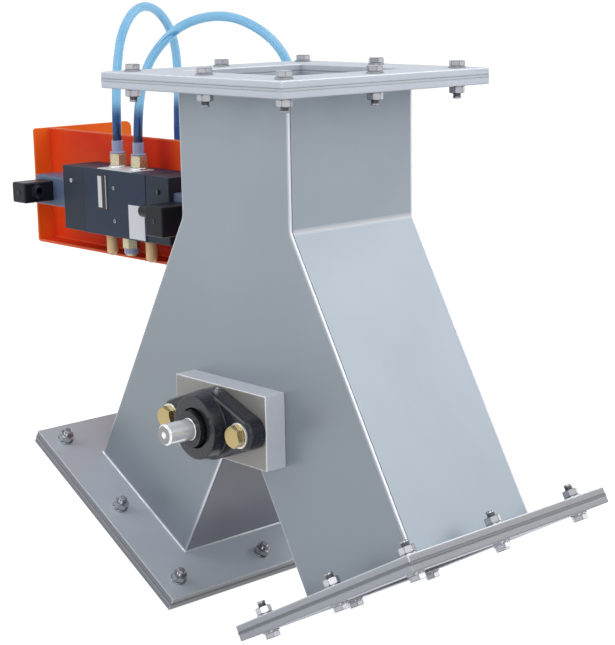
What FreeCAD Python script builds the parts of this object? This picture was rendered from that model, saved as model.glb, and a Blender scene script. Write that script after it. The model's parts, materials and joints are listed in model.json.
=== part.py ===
import FreeCAD, Part
import math
import os

# Two-way diverter damper for a square duct, in millimetres.
# X runs across the two outlets, Y along the flap shaft with the front at -Y, and Z is up.
# The origin is the centre of the inlet's top face.

# Duct body
DUCT = 154.0                # outside width of the square duct
SHEET = 3.0                 # wall of the duct
NECK = 136.0                # inlet face to the bend
LEG = 299.0                 # bend to the outlet flange, along the outside of the leg
LEG_ANGLE = 29.5            # leg from the vertical, degrees
BEND = 15.0                 # radius of the bend on its outside
LONG_EDGE = 2.0             # rounding of the body's long outer edges

# Flanges
FLANGE_RIM = 50.0           # flange beyond the duct's outside
FLANGE_PLATE = 6.5          # thickness of the welded flange
COUNTER_PLATE = 6.5         # thickness of the loose counter flange
GASKET = 2.0                # thickness of the gasket between them
BOLT_PITCH = 106.0          # bolt hole to bolt hole along a flange's side
BOLT_PLAY = 0.5             # radial play of a bolt in its hole

# Fasteners: radius, width over flats, head height, nut height, washer radius and thickness
M6 = dict(r=3.0, flats=10.0, head=4.0, nut=5.0, washer=6.0, washer_t=1.6)
M8 = dict(r=4.0, flats=13.0, head=5.3, nut=6.5, washer=8.0, washer_t=1.6)
M12 = dict(r=6.0, flats=18.0, head=7.5, nut=10.4, washer=12.0, washer_t=2.5)
THREAD_END = 5.0            # thread that stands out of a flange nut
SHORT_END = 2.5             # thread that stands out of a smaller nut, or stops short in a hole

# Fits
FIT = 0.05                  # radial clearance of pieces that are fixed on each other
RUNNING = 0.08              # radial clearance of a shaft, rod or piston that runs

# Flange bearings on their blocks
BLOCK_WIDTH = 130.0
BLOCK_HEIGHT = 70.0
BLOCK_DEPTH = 23.0
BLOCK_BORE = 20.0           # radius of the passage for the shaft
EAR_PITCH = 99.0            # bolt to bolt
EAR_RADIUS = 15.5
EAR_DEPTH = 18.0
EAR_ROUND = 4.0             # rounding of the ears' front edge
HOUSING_RADIUS = 33.0
HOUSING_NOSE = 29.5         # radius of the housing's front rim
HOUSING_DEPTH = 31.0
HOUSING_LIP = 7.5           # lip in front of the outer ring
BEARING_RADIUS = 26.0       # outside of the outer ring
BEARING_WIDTH = 17.0        # outer ring
BEARING_CENTRE = 16.0       # block face to the middle of the balls
OUTER_SHOULDER = 21.5       # inside of the outer ring
INNER_SHOULDER = 17.0       # outside of the inner ring
INNER_BACK = 14.3           # inner ring behind the balls
INNER_FRONT = 19.8          # inner ring in front of the balls
BALL_RADIUS = 3.97
BALL_CIRCLE = 19.5
BALLS = 9
SHIELD = 2.0                # thickness of the shields that close a bearing
SHIELD_INSET = 1.0          # shield inside the outer ring's face
BEARING_BOLT_DEPTH = 18.0   # thread of a bearing bolt in the block
SEAL_DEPTH = 10.0           # shaft seal in the block
SEAL_INSET = 4.0            # shaft seal behind the block's face

# Flap and shaft
SHAFT_DROP = 4.0            # shaft axis below the point where the legs meet
SHAFT_RADIUS = 12.5
LOCK_COLLAR = 1.2           # thickness of the lock collar in front of the front inner ring
LOCK_SEAT = 10.6            # radius of the shaft in the lock collar
STUB_RADIUS = 10.0
STUB = 28.0                 # bare stub in front of the lock collar
STUB_CHAMFER = 1.5
CENTRE_HOLE = 3.0           # radius of the stub's centre hole
CENTRE_DEPTH = 6.0
HUB_RADIUS = 20.0
HUB_GAP = 1.0               # hub to the body, at its ends and above the saddle
CHEEK_WIDTH = 20.0          # both cheeks of the hub, over the blade
CHEEK_REACH = 52.0          # shaft axis to the cheeks' edge
BLADE = 6.0                 # thickness of the blade
BLADE_FOOT = 22.0           # shaft axis to the blade's lower edge
BLADE_GAP = 2.0             # blade to the front and rear plates
TIP_SEAL = 10.0             # thickness of the rubber tip seal
TIP_SEAL_GRIP = 18.0        # tip seal over the blade
TIP_SEAL_GAP = 0.5          # tip seal to the front and rear plates
TIP_LIP = 13.2              # blade's upper edge to the middle of the round tip
TIP_CLEAR = 0.5             # round tip to the wall at each end of the swing
SWING = 42.0                # flap from wall to wall, degrees
SCREW_LINE = 40.0           # shaft axis to the blade's screws
SCREW_PITCH = 38.0
SCREWS = 4
SADDLE_SPAN = 17.0          # saddle beyond each inner plate, degrees

# Lever on the shaft's rear end
LEVER_HUB_RADIUS = 25.0
LEVER_HUB = 24.0
LEVER_PLATE = 15.0
LEVER_INSET = 1.5           # lever plate behind the hub's front face
LEVER_RIM = 10.0            # metal round the slot
SLOT_PLAY = 1.45            # pin to each side of the slot
SLOT_END_PLAY = 1.5
KEY_WIDTH = 8.0
KEY_HEIGHT = 7.0
KEY_SEAT = 4.0              # key's depth in the shaft
KEY_LENGTH = 20.0
END_WASHER_RADIUS = 18.0
END_WASHER = 4.0
END_BOLT = 20.0             # end bolt's thread in the shaft

# Console
CONSOLE_SPARE = 31.2        # end wall to the coil or the foot that reaches farthest
CONSOLE_TOP = 85.0          # inlet face down to the console's top edge
CONSOLE_HEIGHT = 133.0
CONSOLE_FRONT = 40.0        # mid plane to the front edge
CONSOLE_DEPTH = 140.0
CONSOLE_SHEET = 3.0
PANEL_INSET = 20.0          # panel behind the front edge
PANEL_GAP = 1.0             # panel and floor to the duct
WALL_CORNER = 8.0
TAB_WIDTH = 45.0
TAB_HEIGHT = 40.0
NECK_TAB = 110.0            # inlet face to the middle of the tab on the neck
LEG_TAB = 55.0              # bend to the middle of the tab on the leg
STUD = 16.0
STUD_PITCH = 20.0

# Cylinder
CYLINDER_BORE = 25.0        # radius
BARREL_WALL = 2.5
CAP_SIZE = 65.0
CAP_LENGTH = 30.0
CAP_ROUND = 5.0             # rounding of the long edges of the caps and of the feet's upper corners
FOOT_HEIGHT = 45.0          # cylinder axis above the console's floor
TIE_ROD_OFFSET = 23.3
TIE_ROD_RADIUS = M8["r"]
TIE_ROD_END = 1.5           # tie rod beyond its nut
PORT_INSET = 17.0           # port from the cap's outer face
NOSE_RADIUS = 18.0
NOSE = 12.0
FOOT_PLATE = 5.0
FOOT_BASE = 6.0
FOOT_REACH = 32.0
FOOT_BOLT_PITCH = 40.0
PISTON = 30.0
PISTON_GROOVE = 5.0         # width of a seal groove
PISTON_GROOVE_DEPTH = 3.0
PISTON_LAND = 5.0           # piston's edge to its first groove
PISTON_REST = 18.0          # piston to the rear cap at rest
PISTON_SPARE = 9.5          # piston to the front cap at full stroke
ROD_RADIUS = 10.0
ROD_REST = 23.3             # bare rod at rest
FORK_SIZE = 32.0
FORK_GAP = 0.5              # lever to each cheek of the fork
FORK_NOSE = 18.0            # fork in front of the pin
FORK_ROUND = 14.0           # rounding of the fork's nose
FORK_THROAT = 30.0          # gap of the fork behind the pin
FORK_BASE = 24.0
FORK_SPIGOT = 8.0           # radius of the rod's thread
FORK_SPIGOT_DEPTH = 18.0
LOCK_NUT = 8.0
LOCK_NUT_FLATS = 24.0
PIN_RADIUS = 8.0
PIN_HEAD = 3.0
PIN_HEAD_RADIUS = 11.0

# Solenoid valve on the panel
VALVE_CENTRE = 234.0        # neck to the valve's middle
VALVE_TOP = 117.5           # inlet face down to the valve's top
VALVE_LENGTH = 114.0
VALVE_HEIGHT = 72.5
VALVE_DEPTH = 48.0
VALVE_ROUND = 1.0
PILOT_LENGTH = 40.0
PILOT_STEP = 0.5            # pilot cap inside the valve body's outline
COIL_LENGTH = 66.0
COIL_HEIGHT = 34.0
COIL_DEPTH = 34.0
COIL_DROP = 16.5            # valve top to the coil's top
COIL_SETBACK = 6.0          # coil behind the valve's front
COIL_ROUND = 3.0
COIL_NUT = 5.0              # nut that holds a coil on its stem
COIL_NUT_FLATS = 19.0
PLUG_DEPTH = 38.0
LEFT_PLUG = dict(width=26.0, height=23.0, drop=21.0, from_end=11.0, gland_hex=3.0, gland_nut=4.0)
RIGHT_PLUG = dict(width=29.0, height=32.0, drop=25.0, from_end=36.0, gland_hex=12.5, gland_nut=12.5)
PLUG_ROUND = 2.0
GLAND_FLATS = 15.0
GLAND_NUT_RADIUS = 6.5
GLAND_BORE = 4.0            # radius of the cable hole
GLAND_BORE_DEPTH = 6.0
GLAND_DROP = 10.0           # connector's top to the gland's axis
GLAND_SETBACK = 16.0        # connector's front to the gland's axis
BUTTON_RADIUS = 2.5
BUTTON = 8.0
BUTTON_PROUD = 2.0
BUTTON_SPACE = 3.0          # free bore behind a button
BUTTON_DROP = 16.5          # valve top to the button
BUTTON_INSET = 22.0         # valve body's end to the button
PORT_PITCH = 38.0
PORT_SETBACK = 21.0         # valve front to its ports
EXHAUST_PITCH = 72.0

# Push-in fittings, silencers and air tubes
TUBE = 10.0                 # outside diameter of an air tube
FITTING_WASHER = 3.0
FITTING_WASHER_RADIUS = 10.0
FITTING_FLATS = 17.0
FITTING_HEX = 13.0
COLLAR_RADIUS = 8.5
COLLAR = 2.0                # flat rim of a release collar
COLLAR_SLEEVE = 12.0        # sleeve of a release collar round its tube
COLLAR_SLEEVE_RADIUS = 6.2
COLLAR_PLAY = 0.3           # radial play of the tube in the sleeve
SUPPLY_HEX = 11.0
SUPPLY_SLEEVE = 8.0
SUPPLY_SLEEVE_RADIUS = 6.3
SUPPLY_COLLAR = 6.0
SUPPLY_DEPTH = 17.0
SILENCER_HEX = 4.0
SILENCER_FLATS = 14.0
SILENCER_RADIUS = 6.3
SILENCER = 18.0
SILENCER_TIP = 4.0
TUBE_ARC = 0.45             # share of the shorter run that an arc takes
TUBE_A = dict(rise=53.0, fall=42.0, bends=[
    (-331.5, 40.5, 11.5), (-336.3, 55.5, 38.4), (-344.3, 78.0, 54.0), (-353.3, 105.0, 54.0),
    (-361.3, 129.5, 38.4), (-366.6, 145.5, 11.5), (-367.8, 148.7, -32.0)])
TUBE_B = dict(rise=36.0, fall=40.0, bends=[
    (-286.8, 39.3, -16.0), (-273.8, 50.6, 14.0), (-250.4, 70.9, 40.0), (-218.1, 100.3, 47.0),
    (-190.0, 125.9, 30.0), (-171.5, 142.6, 2.0), (-166.2, 148.4, -36.0)])

# Places worked out from the sizes
V = FreeCAD.Vector
AXIS_X, AXIS_Y, AXIS_Z = V(1, 0, 0), V(0, 1, 0), V(0, 0, 1)
HALF = DUCT / 2
INSIDE = HALF - SHEET
STACK = FLANGE_PLATE + GASKET + COUNTER_PLATE
SIN, COS = math.sin(math.radians(LEG_ANGLE)), math.cos(math.radians(LEG_ANGLE))
CROTCH_Z = -NECK - HALF * (2 - COS) / SIN
SHAFT_Z = CROTCH_Z - SHAFT_DROP
SHAFT_AXIS = V(0, 0, SHAFT_Z)
SADDLE_RADIUS = HUB_RADIUS + HUB_GAP + SHEET
BLOCK_FACE = HALF + BLOCK_DEPTH
BEARING_FRONT = BLOCK_FACE + BEARING_CENTRE + INNER_FRONT
SHAFT_REAR = BEARING_FRONT + LEVER_HUB
COLLAR_FACE = BEARING_FRONT + LOCK_COLLAR
LEVER_Y = BEARING_FRONT + LEVER_INSET + LEVER_PLATE / 2
HALF_SWING = math.radians(SWING / 2)
TIP_REACH = (INSIDE - TIP_CLEAR - TIP_SEAL / 2) / math.sin(HALF_SWING)
BLADE_REACH = TIP_REACH - TIP_LIP
FLOOR_TOP = -CONSOLE_TOP - CONSOLE_HEIGHT + CONSOLE_SHEET
CONSOLE_REAR = CONSOLE_FRONT + CONSOLE_DEPTH
PANEL_Y = CONSOLE_FRONT + PANEL_INSET
CYLINDER_Z = FLOOR_TOP + FOOT_HEIGHT
LEVER_RISE = CYLINDER_Z - SHAFT_Z
PIN_X = -LEVER_RISE * math.tan(HALF_SWING)
SLOT_TOP = LEVER_RISE / math.cos(HALF_SWING)
SLOT_HALF = PIN_RADIUS + SLOT_PLAY
FORK_BACK = PIN_X - FORK_THROAT - FORK_BASE
ROD_END = FORK_BACK - LOCK_NUT
FRONT_CAP_X = ROD_END - ROD_REST - NOSE
BARREL = PISTON_REST + PISTON - 2 * PIN_X + PISTON_SPARE
REAR_CAP_X = FRONT_CAP_X - BARREL - 2 * CAP_LENGTH
VALVE_X = -HALF - VALVE_CENTRE
COIL_REACH = VALVE_LENGTH / 2 + PILOT_LENGTH + COIL_LENGTH
FARTHEST = min(VALVE_X - COIL_REACH, REAR_CAP_X - FOOT_PLATE - FOOT_REACH)
END_WALL_X = FARTHEST - CONSOLE_SPARE - CONSOLE_SHEET
VALVE_Y = PANEL_Y - VALVE_DEPTH
PORT_Y = VALVE_Y + PORT_SETBACK
VALVE_BOTTOM = -VALVE_TOP - VALVE_HEIGHT
FITTING = FITTING_WASHER + FITTING_HEX + COLLAR


def box(x0, x1, y0, y1, z0, z1):
    """Block between two corners."""
    return Part.makeBox(x1 - x0, y1 - y0, z1 - z0, V(x0, y0, z0))


def rod(start, axis, radius, length):
    """Round bar from a start point along an axis."""
    return Part.makeCylinder(radius, length, start, axis)


def ring(start, axis, outer, inner, length):
    """Round sleeve from a start point along an axis."""
    return rod(start, axis, outer, length).cut(rod(start, axis, inner, length))


def place(shape, origin, rotation):
    """Copy of a shape, turned and then moved to an origin."""
    return shape.transformed(FreeCAD.Placement(origin, rotation).toMatrix(), True)


def hexagon(start, axis, flats, length):
    """Hexagonal bar from a start point along an axis."""
    reach = flats / math.sqrt(3)
    turns = [math.radians(60 * i) for i in range(7)]
    wire = Part.makePolygon([V(reach * math.cos(a), reach * math.sin(a), 0) for a in turns])
    return place(Part.Face(wire).extrude(AXIS_Z * length), start, FreeCAD.Rotation(AXIS_Z, axis))


def outline(corners):
    """Face in the XZ plane from corners (x, z, rounding)."""
    edges = []
    last = None
    first = None
    for i, (x, z, radius) in enumerate(corners):
        here = V(x, 0, z)
        before = V(corners[i - 1][0], 0, corners[i - 1][1])
        after = V(corners[(i + 1) % len(corners)][0], 0, corners[(i + 1) % len(corners)][1])
        start = end = here
        if radius:
            back = (before - here).normalize()
            onward = (after - here).normalize()
            half = back.getAngle(onward) / 2
            middle = (back + onward).normalize()
            start = here + back * (radius / math.tan(half))
            end = here + onward * (radius / math.tan(half))
            crest = here + middle * (radius / math.sin(half) - radius)
        if last:
            edges.append(Part.LineSegment(last, start).toShape())
        if radius:
            edges.append(Part.Arc(start, crest, end).toShape())
        first = first or start
        last = end
    edges.append(Part.LineSegment(last, first).toShape())
    return Part.Face(Part.Wire(edges))


def slab(corners, y0, y1):
    """Outline in the XZ plane, drawn out along Y."""
    face = outline(corners)
    face.translate(AXIS_Y * y0)
    return face.extrude(AXIS_Y * (y1 - y0))


def link(centre_a, radius_a, centre_b, radius_b):
    """Face in the XZ plane round two circles and between their tangents."""
    along = centre_b - centre_a
    lean = math.acos((radius_a - radius_b) / along.Length)
    along.normalize()

    def rim(centre, radius, angle):
        turned = FreeCAD.Rotation(AXIS_Y, math.degrees(angle)).multVec(along)
        return centre + turned * radius

    a0, a1 = rim(centre_a, radius_a, lean), rim(centre_a, radius_a, -lean)
    b0, b1 = rim(centre_b, radius_b, lean), rim(centre_b, radius_b, -lean)
    edges = [Part.LineSegment(a0, b0).toShape(),
             Part.Arc(b0, rim(centre_b, radius_b, 0), b1).toShape(),
             Part.LineSegment(b1, a1).toShape(),
             Part.Arc(a1, rim(centre_a, radius_a, math.pi), a0).toShape()]
    return Part.Face(Part.Wire(edges))


def rounded(shape, radius, chosen=None):
    """Shape with its chosen edges, or all of them, rounded."""
    edges = [e for e in shape.Edges if chosen is None or chosen(e)]
    return shape.makeFillet(radius, edges)


def along(edge, axis):
    """Whether an edge runs along an axis."""
    return abs((edge.Vertexes[-1].Point - edge.Vertexes[0].Point).dot(axis)) > FIT


def group(shapes):
    """Separate solids that share one node."""
    return Part.makeCompound(shapes)


def leg_point(side, along, across):
    """Point on a leg: along it from the bend, and across it from its outer wall inwards."""
    x = HALF + along * SIN - across * COS
    z = -NECK - along * COS - across * SIN
    return side * x, z


# Body


def cover_plate(outer_y, inner_y):
    """Front or rear plate of the body, shaped like an upturned Y."""
    right = [leg_point(1, LEG, 0) + (0,), leg_point(1, LEG, DUCT) + (0,)]
    left = [leg_point(-1, LEG, DUCT) + (0,), leg_point(-1, LEG, 0) + (0,)]
    corners = [(-HALF, -STACK, 0), (HALF, -STACK, 0), (HALF, -NECK, BEND)]
    corners += right + [(0, CROTCH_Z, 0)] + left + [(-HALF, -NECK, BEND)]
    plate = slab(corners, outer_y, inner_y)
    low = min(outer_y, inner_y)
    plate = plate.fuse(rod(V(0, low, SHAFT_Z), AXIS_Y, SADDLE_RADIUS, SHEET)).removeSplitter()
    plate = plate.cut(rod(V(0, low, SHAFT_Z), AXIS_Y, BLOCK_BORE, SHEET))

    def on_outer_walls(edge):
        middle = edge.CenterOfMass
        if abs(middle.y - outer_y) > FIT or any(abs(v.Y - outer_y) > FIT for v in edge.Vertexes):
            return False
        across = (HALF + (-NECK - middle.z) * SIN / COS - abs(middle.x)) * COS
        on_neck = abs(abs(middle.x) - HALF) < SHEET and -NECK - BEND < middle.z < -STACK - FIT
        return on_neck or (abs(across) < FIT and middle.z < -NECK)

    return rounded(plate, LONG_EDGE, on_outer_walls)


def side_plate(side):
    """Bent outer wall of the neck and one leg."""
    lap = SHEET * math.tan(math.radians(LEG_ANGLE / 2))
    corners = [(side * HALF, -STACK, 0), (side * HALF, -NECK, BEND), leg_point(side, LEG, 0) + (0,),
               leg_point(side, LEG, SHEET) + (0,),
               (side * INSIDE, -NECK - lap, BEND + SHEET), (side * INSIDE, -STACK, 0)]
    return slab(corners, -INSIDE, INSIDE)


def inner_plate(side):
    """Inner wall of one leg, from the saddle to the outlet."""
    corners = [(0, CROTCH_Z, 0), leg_point(side, LEG, DUCT) + (0,), leg_point(side, LEG, DUCT - SHEET) + (0,),
               (side * SHEET * COS, CROTCH_Z + SHEET * SIN, 0)]
    plate = slab(corners, -INSIDE, INSIDE)
    return plate.cut(rod(V(0, -INSIDE, SHAFT_Z), AXIS_Y, SADDLE_RADIUS, 2 * INSIDE))


def shaft_saddle():
    """Trough under the flap hub that closes the crotch."""
    spread = math.radians(LEG_ANGLE + SADDLE_SPAN)
    reach = 2 * SADDLE_RADIUS
    low = SHAFT_Z - reach * math.cos(spread)
    wedge = slab([(0, SHAFT_Z, 0), (reach * math.sin(spread), low, 0), (-reach * math.sin(spread), low, 0)],
                 -INSIDE, INSIDE)
    trough = ring(V(0, -INSIDE, SHAFT_Z), AXIS_Y, SADDLE_RADIUS, SADDLE_RADIUS - SHEET, 2 * INSIDE)
    return trough.common(wedge)


# Flanges, drawn with their outer face at z = 0 and their duct below


def bolt_places():
    """Eight holes: the corners and the middles of the sides."""
    steps = (-BOLT_PITCH, 0, BOLT_PITCH)
    return [(x, y) for x in steps for y in steps if x or y]


def flange_sheet(top, thickness):
    """Square frame with its duct opening and bolt holes."""
    reach = HALF + FLANGE_RIM
    frame = box(-reach, reach, -reach, reach, top - thickness, top)
    holes = [rod(V(x, y, top - thickness), AXIS_Z, M8["r"] + BOLT_PLAY, thickness) for x, y in bolt_places()]
    return frame.cut([box(-INSIDE, INSIDE, -INSIDE, INSIDE, top - thickness, top)] + holes)


def washer(size, start, axis):
    """Plain washer lying on a face."""
    return ring(start, axis, size["washer"], size["r"] + BOLT_PLAY, size["washer_t"])


def nut(size, start, axis):
    """Hexagon nut on a face."""
    bore = rod(start, axis, size["r"] + FIT, size["nut"])
    return hexagon(start, axis, size["flats"], size["nut"]).cut(bore)


def bolt(size, start, axis, shank):
    """Hexagon bolt: head beyond a face, shank back through it."""
    head = hexagon(start, axis, size["flats"], size["head"])
    return head.fuse(rod(start, axis * -1, size["r"], shank)).removeSplitter()


def flange_fasteners():
    """Bolts, nuts and washers of one flange."""
    bolts, nuts, washers = [], [], []
    seat = M8["washer_t"]
    shank = STACK + 2 * seat + M8["nut"] + THREAD_END
    for x, y in bolt_places():
        bolts.append(bolt(M8, V(x, y, seat), AXIS_Z, shank))
        nuts.append(nut(M8, V(x, y, -STACK - seat), AXIS_Z * -1))
        washers.append(washer(M8, V(x, y, 0), AXIS_Z))
        washers.append(washer(M8, V(x, y, -STACK), AXIS_Z * -1))
    return bolts, nuts, washers


def flange_seats():
    """Where the three flanges stand: the name, the middle of the outer face and the turn."""
    seats = [("inlet", V(0, 0, 0), FreeCAD.Rotation())]
    for name, side in (("left", -1), ("right", 1)):
        x, z = leg_point(side, LEG + STACK, HALF)
        seats.append((name, V(x, 0, z), FreeCAD.Rotation(AXIS_Y, side * (180 - LEG_ANGLE))))
    return seats


def add_flanges(parts):
    """Three flanges with their gaskets, counter flanges and fasteners."""
    welded = flange_sheet(-COUNTER_PLATE - GASKET, FLANGE_PLATE)
    gasket = flange_sheet(-COUNTER_PLATE, GASKET)
    counter = flange_sheet(0, COUNTER_PLATE)
    gaskets, bolts, nuts, washers = [], [], [], []
    for name, origin, turn in flange_seats():
        parts[name + "_flange"] = place(welded, origin, turn)
        parts[name + "_counter_flange"] = place(counter, origin, turn)
        gaskets.append(place(gasket, origin, turn))
        for store, made in zip((bolts, nuts, washers), flange_fasteners()):
            store += [place(piece, origin, turn) for piece in made]
    parts["flange_gaskets"] = group(gaskets)
    parts["flange_bolts"] = group(bolts)
    parts["flange_nuts"] = group(nuts)
    parts["flange_washers"] = group(washers)


# Bearings, drawn with the block's face at z = 0 and the shaft along Z


def bearing_block():
    """Machined pad that carries a flange bearing."""
    block = box(-BLOCK_WIDTH / 2, BLOCK_WIDTH / 2, -BLOCK_HEIGHT / 2, BLOCK_HEIGHT / 2, -BLOCK_DEPTH, 0)
    deep = BEARING_BOLT_DEPTH
    holes = [rod(V(x, 0, -deep), AXIS_Z, M12["r"] + FIT, deep) for x in ear_places()]
    return block.cut([rod(V(0, 0, -BLOCK_DEPTH), AXIS_Z, BLOCK_BORE, BLOCK_DEPTH)] + holes)


def ear_places():
    """Bolts of a flange bearing, on both sides of the shaft."""
    return (-EAR_PITCH / 2, EAR_PITCH / 2)


def bearing_housing():
    """Cast housing with two ears and a round nose."""
    upright = FreeCAD.Rotation(AXIS_X, -90)
    ears = [link(V(0, 0, 0), HOUSING_RADIUS, V(x, 0, 0), EAR_RADIUS) for x in ear_places()]
    foot = place(ears[0].fuse(ears[1]).removeSplitter(), V(0, 0, 0), upright)
    foot = foot.Faces[0].extrude(AXIS_Z * EAR_DEPTH)
    foot = rounded(foot, EAR_ROUND, lambda e: all(abs(v.Z - EAR_DEPTH) < FIT for v in e.Vertexes))
    nose = Part.makeCone(HOUSING_RADIUS, HOUSING_NOSE, HOUSING_DEPTH)
    seat = BEARING_CENTRE + BEARING_WIDTH / 2 + FIT
    cuts = [rod(V(0, 0, 0), AXIS_Z, BEARING_RADIUS + FIT, seat),
            rod(V(0, 0, 0), AXIS_Z, BEARING_RADIUS - HOUSING_LIP, HOUSING_DEPTH)]
    cuts += [rod(V(x, 0, 0), AXIS_Z, M12["r"] + BOLT_PLAY, EAR_DEPTH) for x in ear_places()]
    return foot.fuse(nose).removeSplitter().cut(cuts)


def ball_track():
    """Space that the balls run in."""
    return Part.makeTorus(BALL_CIRCLE, BALL_RADIUS + RUNNING, V(0, 0, BEARING_CENTRE))


def outer_ring():
    """Outer ring of a bearing."""
    low = BEARING_CENTRE - BEARING_WIDTH / 2
    return ring(V(0, 0, low), AXIS_Z, BEARING_RADIUS, OUTER_SHOULDER, BEARING_WIDTH).cut(ball_track())


def bearing_shields():
    """Thin rings that close both sides of a bearing."""
    reach = BEARING_WIDTH / 2 - SHIELD_INSET
    lows = (BEARING_CENTRE - reach, BEARING_CENTRE + reach - SHIELD)
    rim, hole = OUTER_SHOULDER - FIT, INNER_SHOULDER + RUNNING
    return [ring(V(0, 0, low), AXIS_Z, rim, hole, SHIELD) for low in lows]


def inner_ring():
    """Inner ring of a bearing, longer towards the front."""
    low = BEARING_CENTRE - INNER_BACK
    sleeve = ring(V(0, 0, low), AXIS_Z, INNER_SHOULDER, SHAFT_RADIUS + FIT, INNER_BACK + INNER_FRONT)
    return sleeve.cut(ball_track())


def lock_collar():
    """Ring on the shaft's seat that holds the front inner ring."""
    low = BEARING_CENTRE + INNER_FRONT
    return ring(V(0, 0, low), AXIS_Z, INNER_SHOULDER, LOCK_SEAT + FIT, LOCK_COLLAR)


def bearing_balls():
    """Balls of one bearing, evenly spaced."""
    turns = [2 * math.pi * i / BALLS for i in range(BALLS)]
    centres = [V(BALL_CIRCLE * math.cos(a), BALL_CIRCLE * math.sin(a), BEARING_CENTRE) for a in turns]
    return [Part.makeSphere(BALL_RADIUS, centre) for centre in centres]


def bearing_bolts():
    """Two bolts with washers that hold a housing on its block."""
    seat = EAR_DEPTH + M12["washer_t"]
    pieces = []
    for x in ear_places():
        pieces.append(bolt(M12, V(x, 0, seat), AXIS_Z, seat + BEARING_BOLT_DEPTH - SHORT_END))
        pieces.append(washer(M12, V(x, 0, EAR_DEPTH), AXIS_Z))
    return pieces


def shaft_seal():
    """Seal ring in the block's bore."""
    low = -SEAL_INSET - SEAL_DEPTH
    return ring(V(0, 0, low), AXIS_Z, BLOCK_BORE - FIT, SHAFT_RADIUS + RUNNING, SEAL_DEPTH)


def add_bearings(parts):
    """Blocks, housings, rings, balls, seals and bolts at both ends of the shaft."""
    outer, inner, balls, seals, bolts = [], [], [], [], []
    for name, face, tilt in (("front", -BLOCK_FACE, 90), ("rear", BLOCK_FACE, -90)):
        origin = V(0, face, SHAFT_Z)
        turn = FreeCAD.Rotation(AXIS_X, tilt)
        parts[name + "_bearing_block"] = place(bearing_block(), origin, turn)
        parts[name + "_bearing_housing"] = place(bearing_housing(), origin, turn)
        outer += [place(piece, origin, turn) for piece in [outer_ring()] + bearing_shields()]
        inner_pieces = [inner_ring(), lock_collar()] if name == "front" else [inner_ring()]
        inner += [place(piece, origin, turn) for piece in inner_pieces]
        seals.append(place(shaft_seal(), origin, turn))
        balls += [place(ball, origin, turn) for ball in bearing_balls()]
        bolts += [place(piece, origin, turn) for piece in bearing_bolts()]
    parts["bearing_outer_rings"] = group(outer)
    parts["bearing_inner_rings"] = group(inner)
    parts["bearing_balls"] = group(balls)
    parts["shaft_seals"] = group(seals)
    parts["bearing_bolts"] = group(bolts)


# Flap, drawn upright and then swung to its rest against the left wall


def at_rest(shape):
    """Flap piece turned to the left wall."""
    turned = shape.copy()
    turned.rotate(SHAFT_AXIS, AXIS_Y, -SWING / 2)
    return turned


def above_shaft(reach, x=0.0, y=0.0):
    """Point at a distance above the shaft's axis."""
    return V(x, y, SHAFT_Z + reach)


def key_box(play):
    """Key between shaft and lever, with play on its sides and top."""
    half = KEY_WIDTH / 2 + play
    low = SHAFT_Z + SHAFT_RADIUS - KEY_SEAT
    start = BEARING_FRONT + (LEVER_HUB - KEY_LENGTH) / 2
    return box(-half, half, start, start + KEY_LENGTH, low, low + KEY_HEIGHT + play)


def flap_shaft():
    """Cross shaft with its front stub, centre hole, key seat and rear thread."""
    shaft = rod(V(0, -BEARING_FRONT, SHAFT_Z), AXIS_Y, SHAFT_RADIUS, BEARING_FRONT + SHAFT_REAR)
    seat = rod(V(0, -COLLAR_FACE, SHAFT_Z), AXIS_Y, LOCK_SEAT, LOCK_COLLAR)
    end = -COLLAR_FACE - STUB
    stub = rod(V(0, end + STUB_CHAMFER, SHAFT_Z), AXIS_Y, STUB_RADIUS, STUB - STUB_CHAMFER)
    tip = Part.makeCone(STUB_RADIUS - STUB_CHAMFER, STUB_RADIUS, STUB_CHAMFER, V(0, end, SHAFT_Z), AXIS_Y)
    centre = Part.makeCone(CENTRE_HOLE, 0, CENTRE_DEPTH, V(0, end, SHAFT_Z), AXIS_Y)
    thread = rod(V(0, SHAFT_REAR - END_BOLT, SHAFT_Z), AXIS_Y, M8["r"] + FIT, END_BOLT)
    return shaft.fuse([seat, stub, tip]).removeSplitter().cut([centre, thread, key_box(FIT)])


def screw_rows():
    """Places of the blade's screws along the shaft."""
    return [SCREW_PITCH * (i - (SCREWS - 1) / 2) for i in range(SCREWS)]


def flap_hub():
    """Tube on the shaft with two cheeks that hold the blade."""
    reach = INSIDE - HUB_GAP
    tube = rod(V(0, -reach, SHAFT_Z), AXIS_Y, HUB_RADIUS, 2 * reach)
    cheeks = box(-CHEEK_WIDTH / 2, CHEEK_WIDTH / 2, -reach, reach, SHAFT_Z, SHAFT_Z + CHEEK_REACH)
    slot_half = BLADE / 2 + FIT
    cuts = [rod(V(0, -reach, SHAFT_Z), AXIS_Y, SHAFT_RADIUS + FIT, 2 * reach),
            box(-slot_half, slot_half, -reach, reach, SHAFT_Z + BLADE_FOOT, SHAFT_Z + CHEEK_REACH)]
    start = -CHEEK_WIDTH / 2
    cuts += [rod(above_shaft(SCREW_LINE, start, y), AXIS_X, M6["r"] + FIT, CHEEK_WIDTH) for y in screw_rows()]
    return tube.fuse(cheeks).removeSplitter().cut(cuts)


def flap_blade():
    """Flat blade that turns the flow."""
    reach = INSIDE - BLADE_GAP
    blade = box(-BLADE / 2, BLADE / 2, -reach, reach, SHAFT_Z + BLADE_FOOT + FIT, SHAFT_Z + BLADE_REACH)
    holes = [rod(above_shaft(SCREW_LINE, -BLADE / 2, y), AXIS_X, M6["r"] + FIT, BLADE) for y in screw_rows()]
    return blade.cut(holes)


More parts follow.
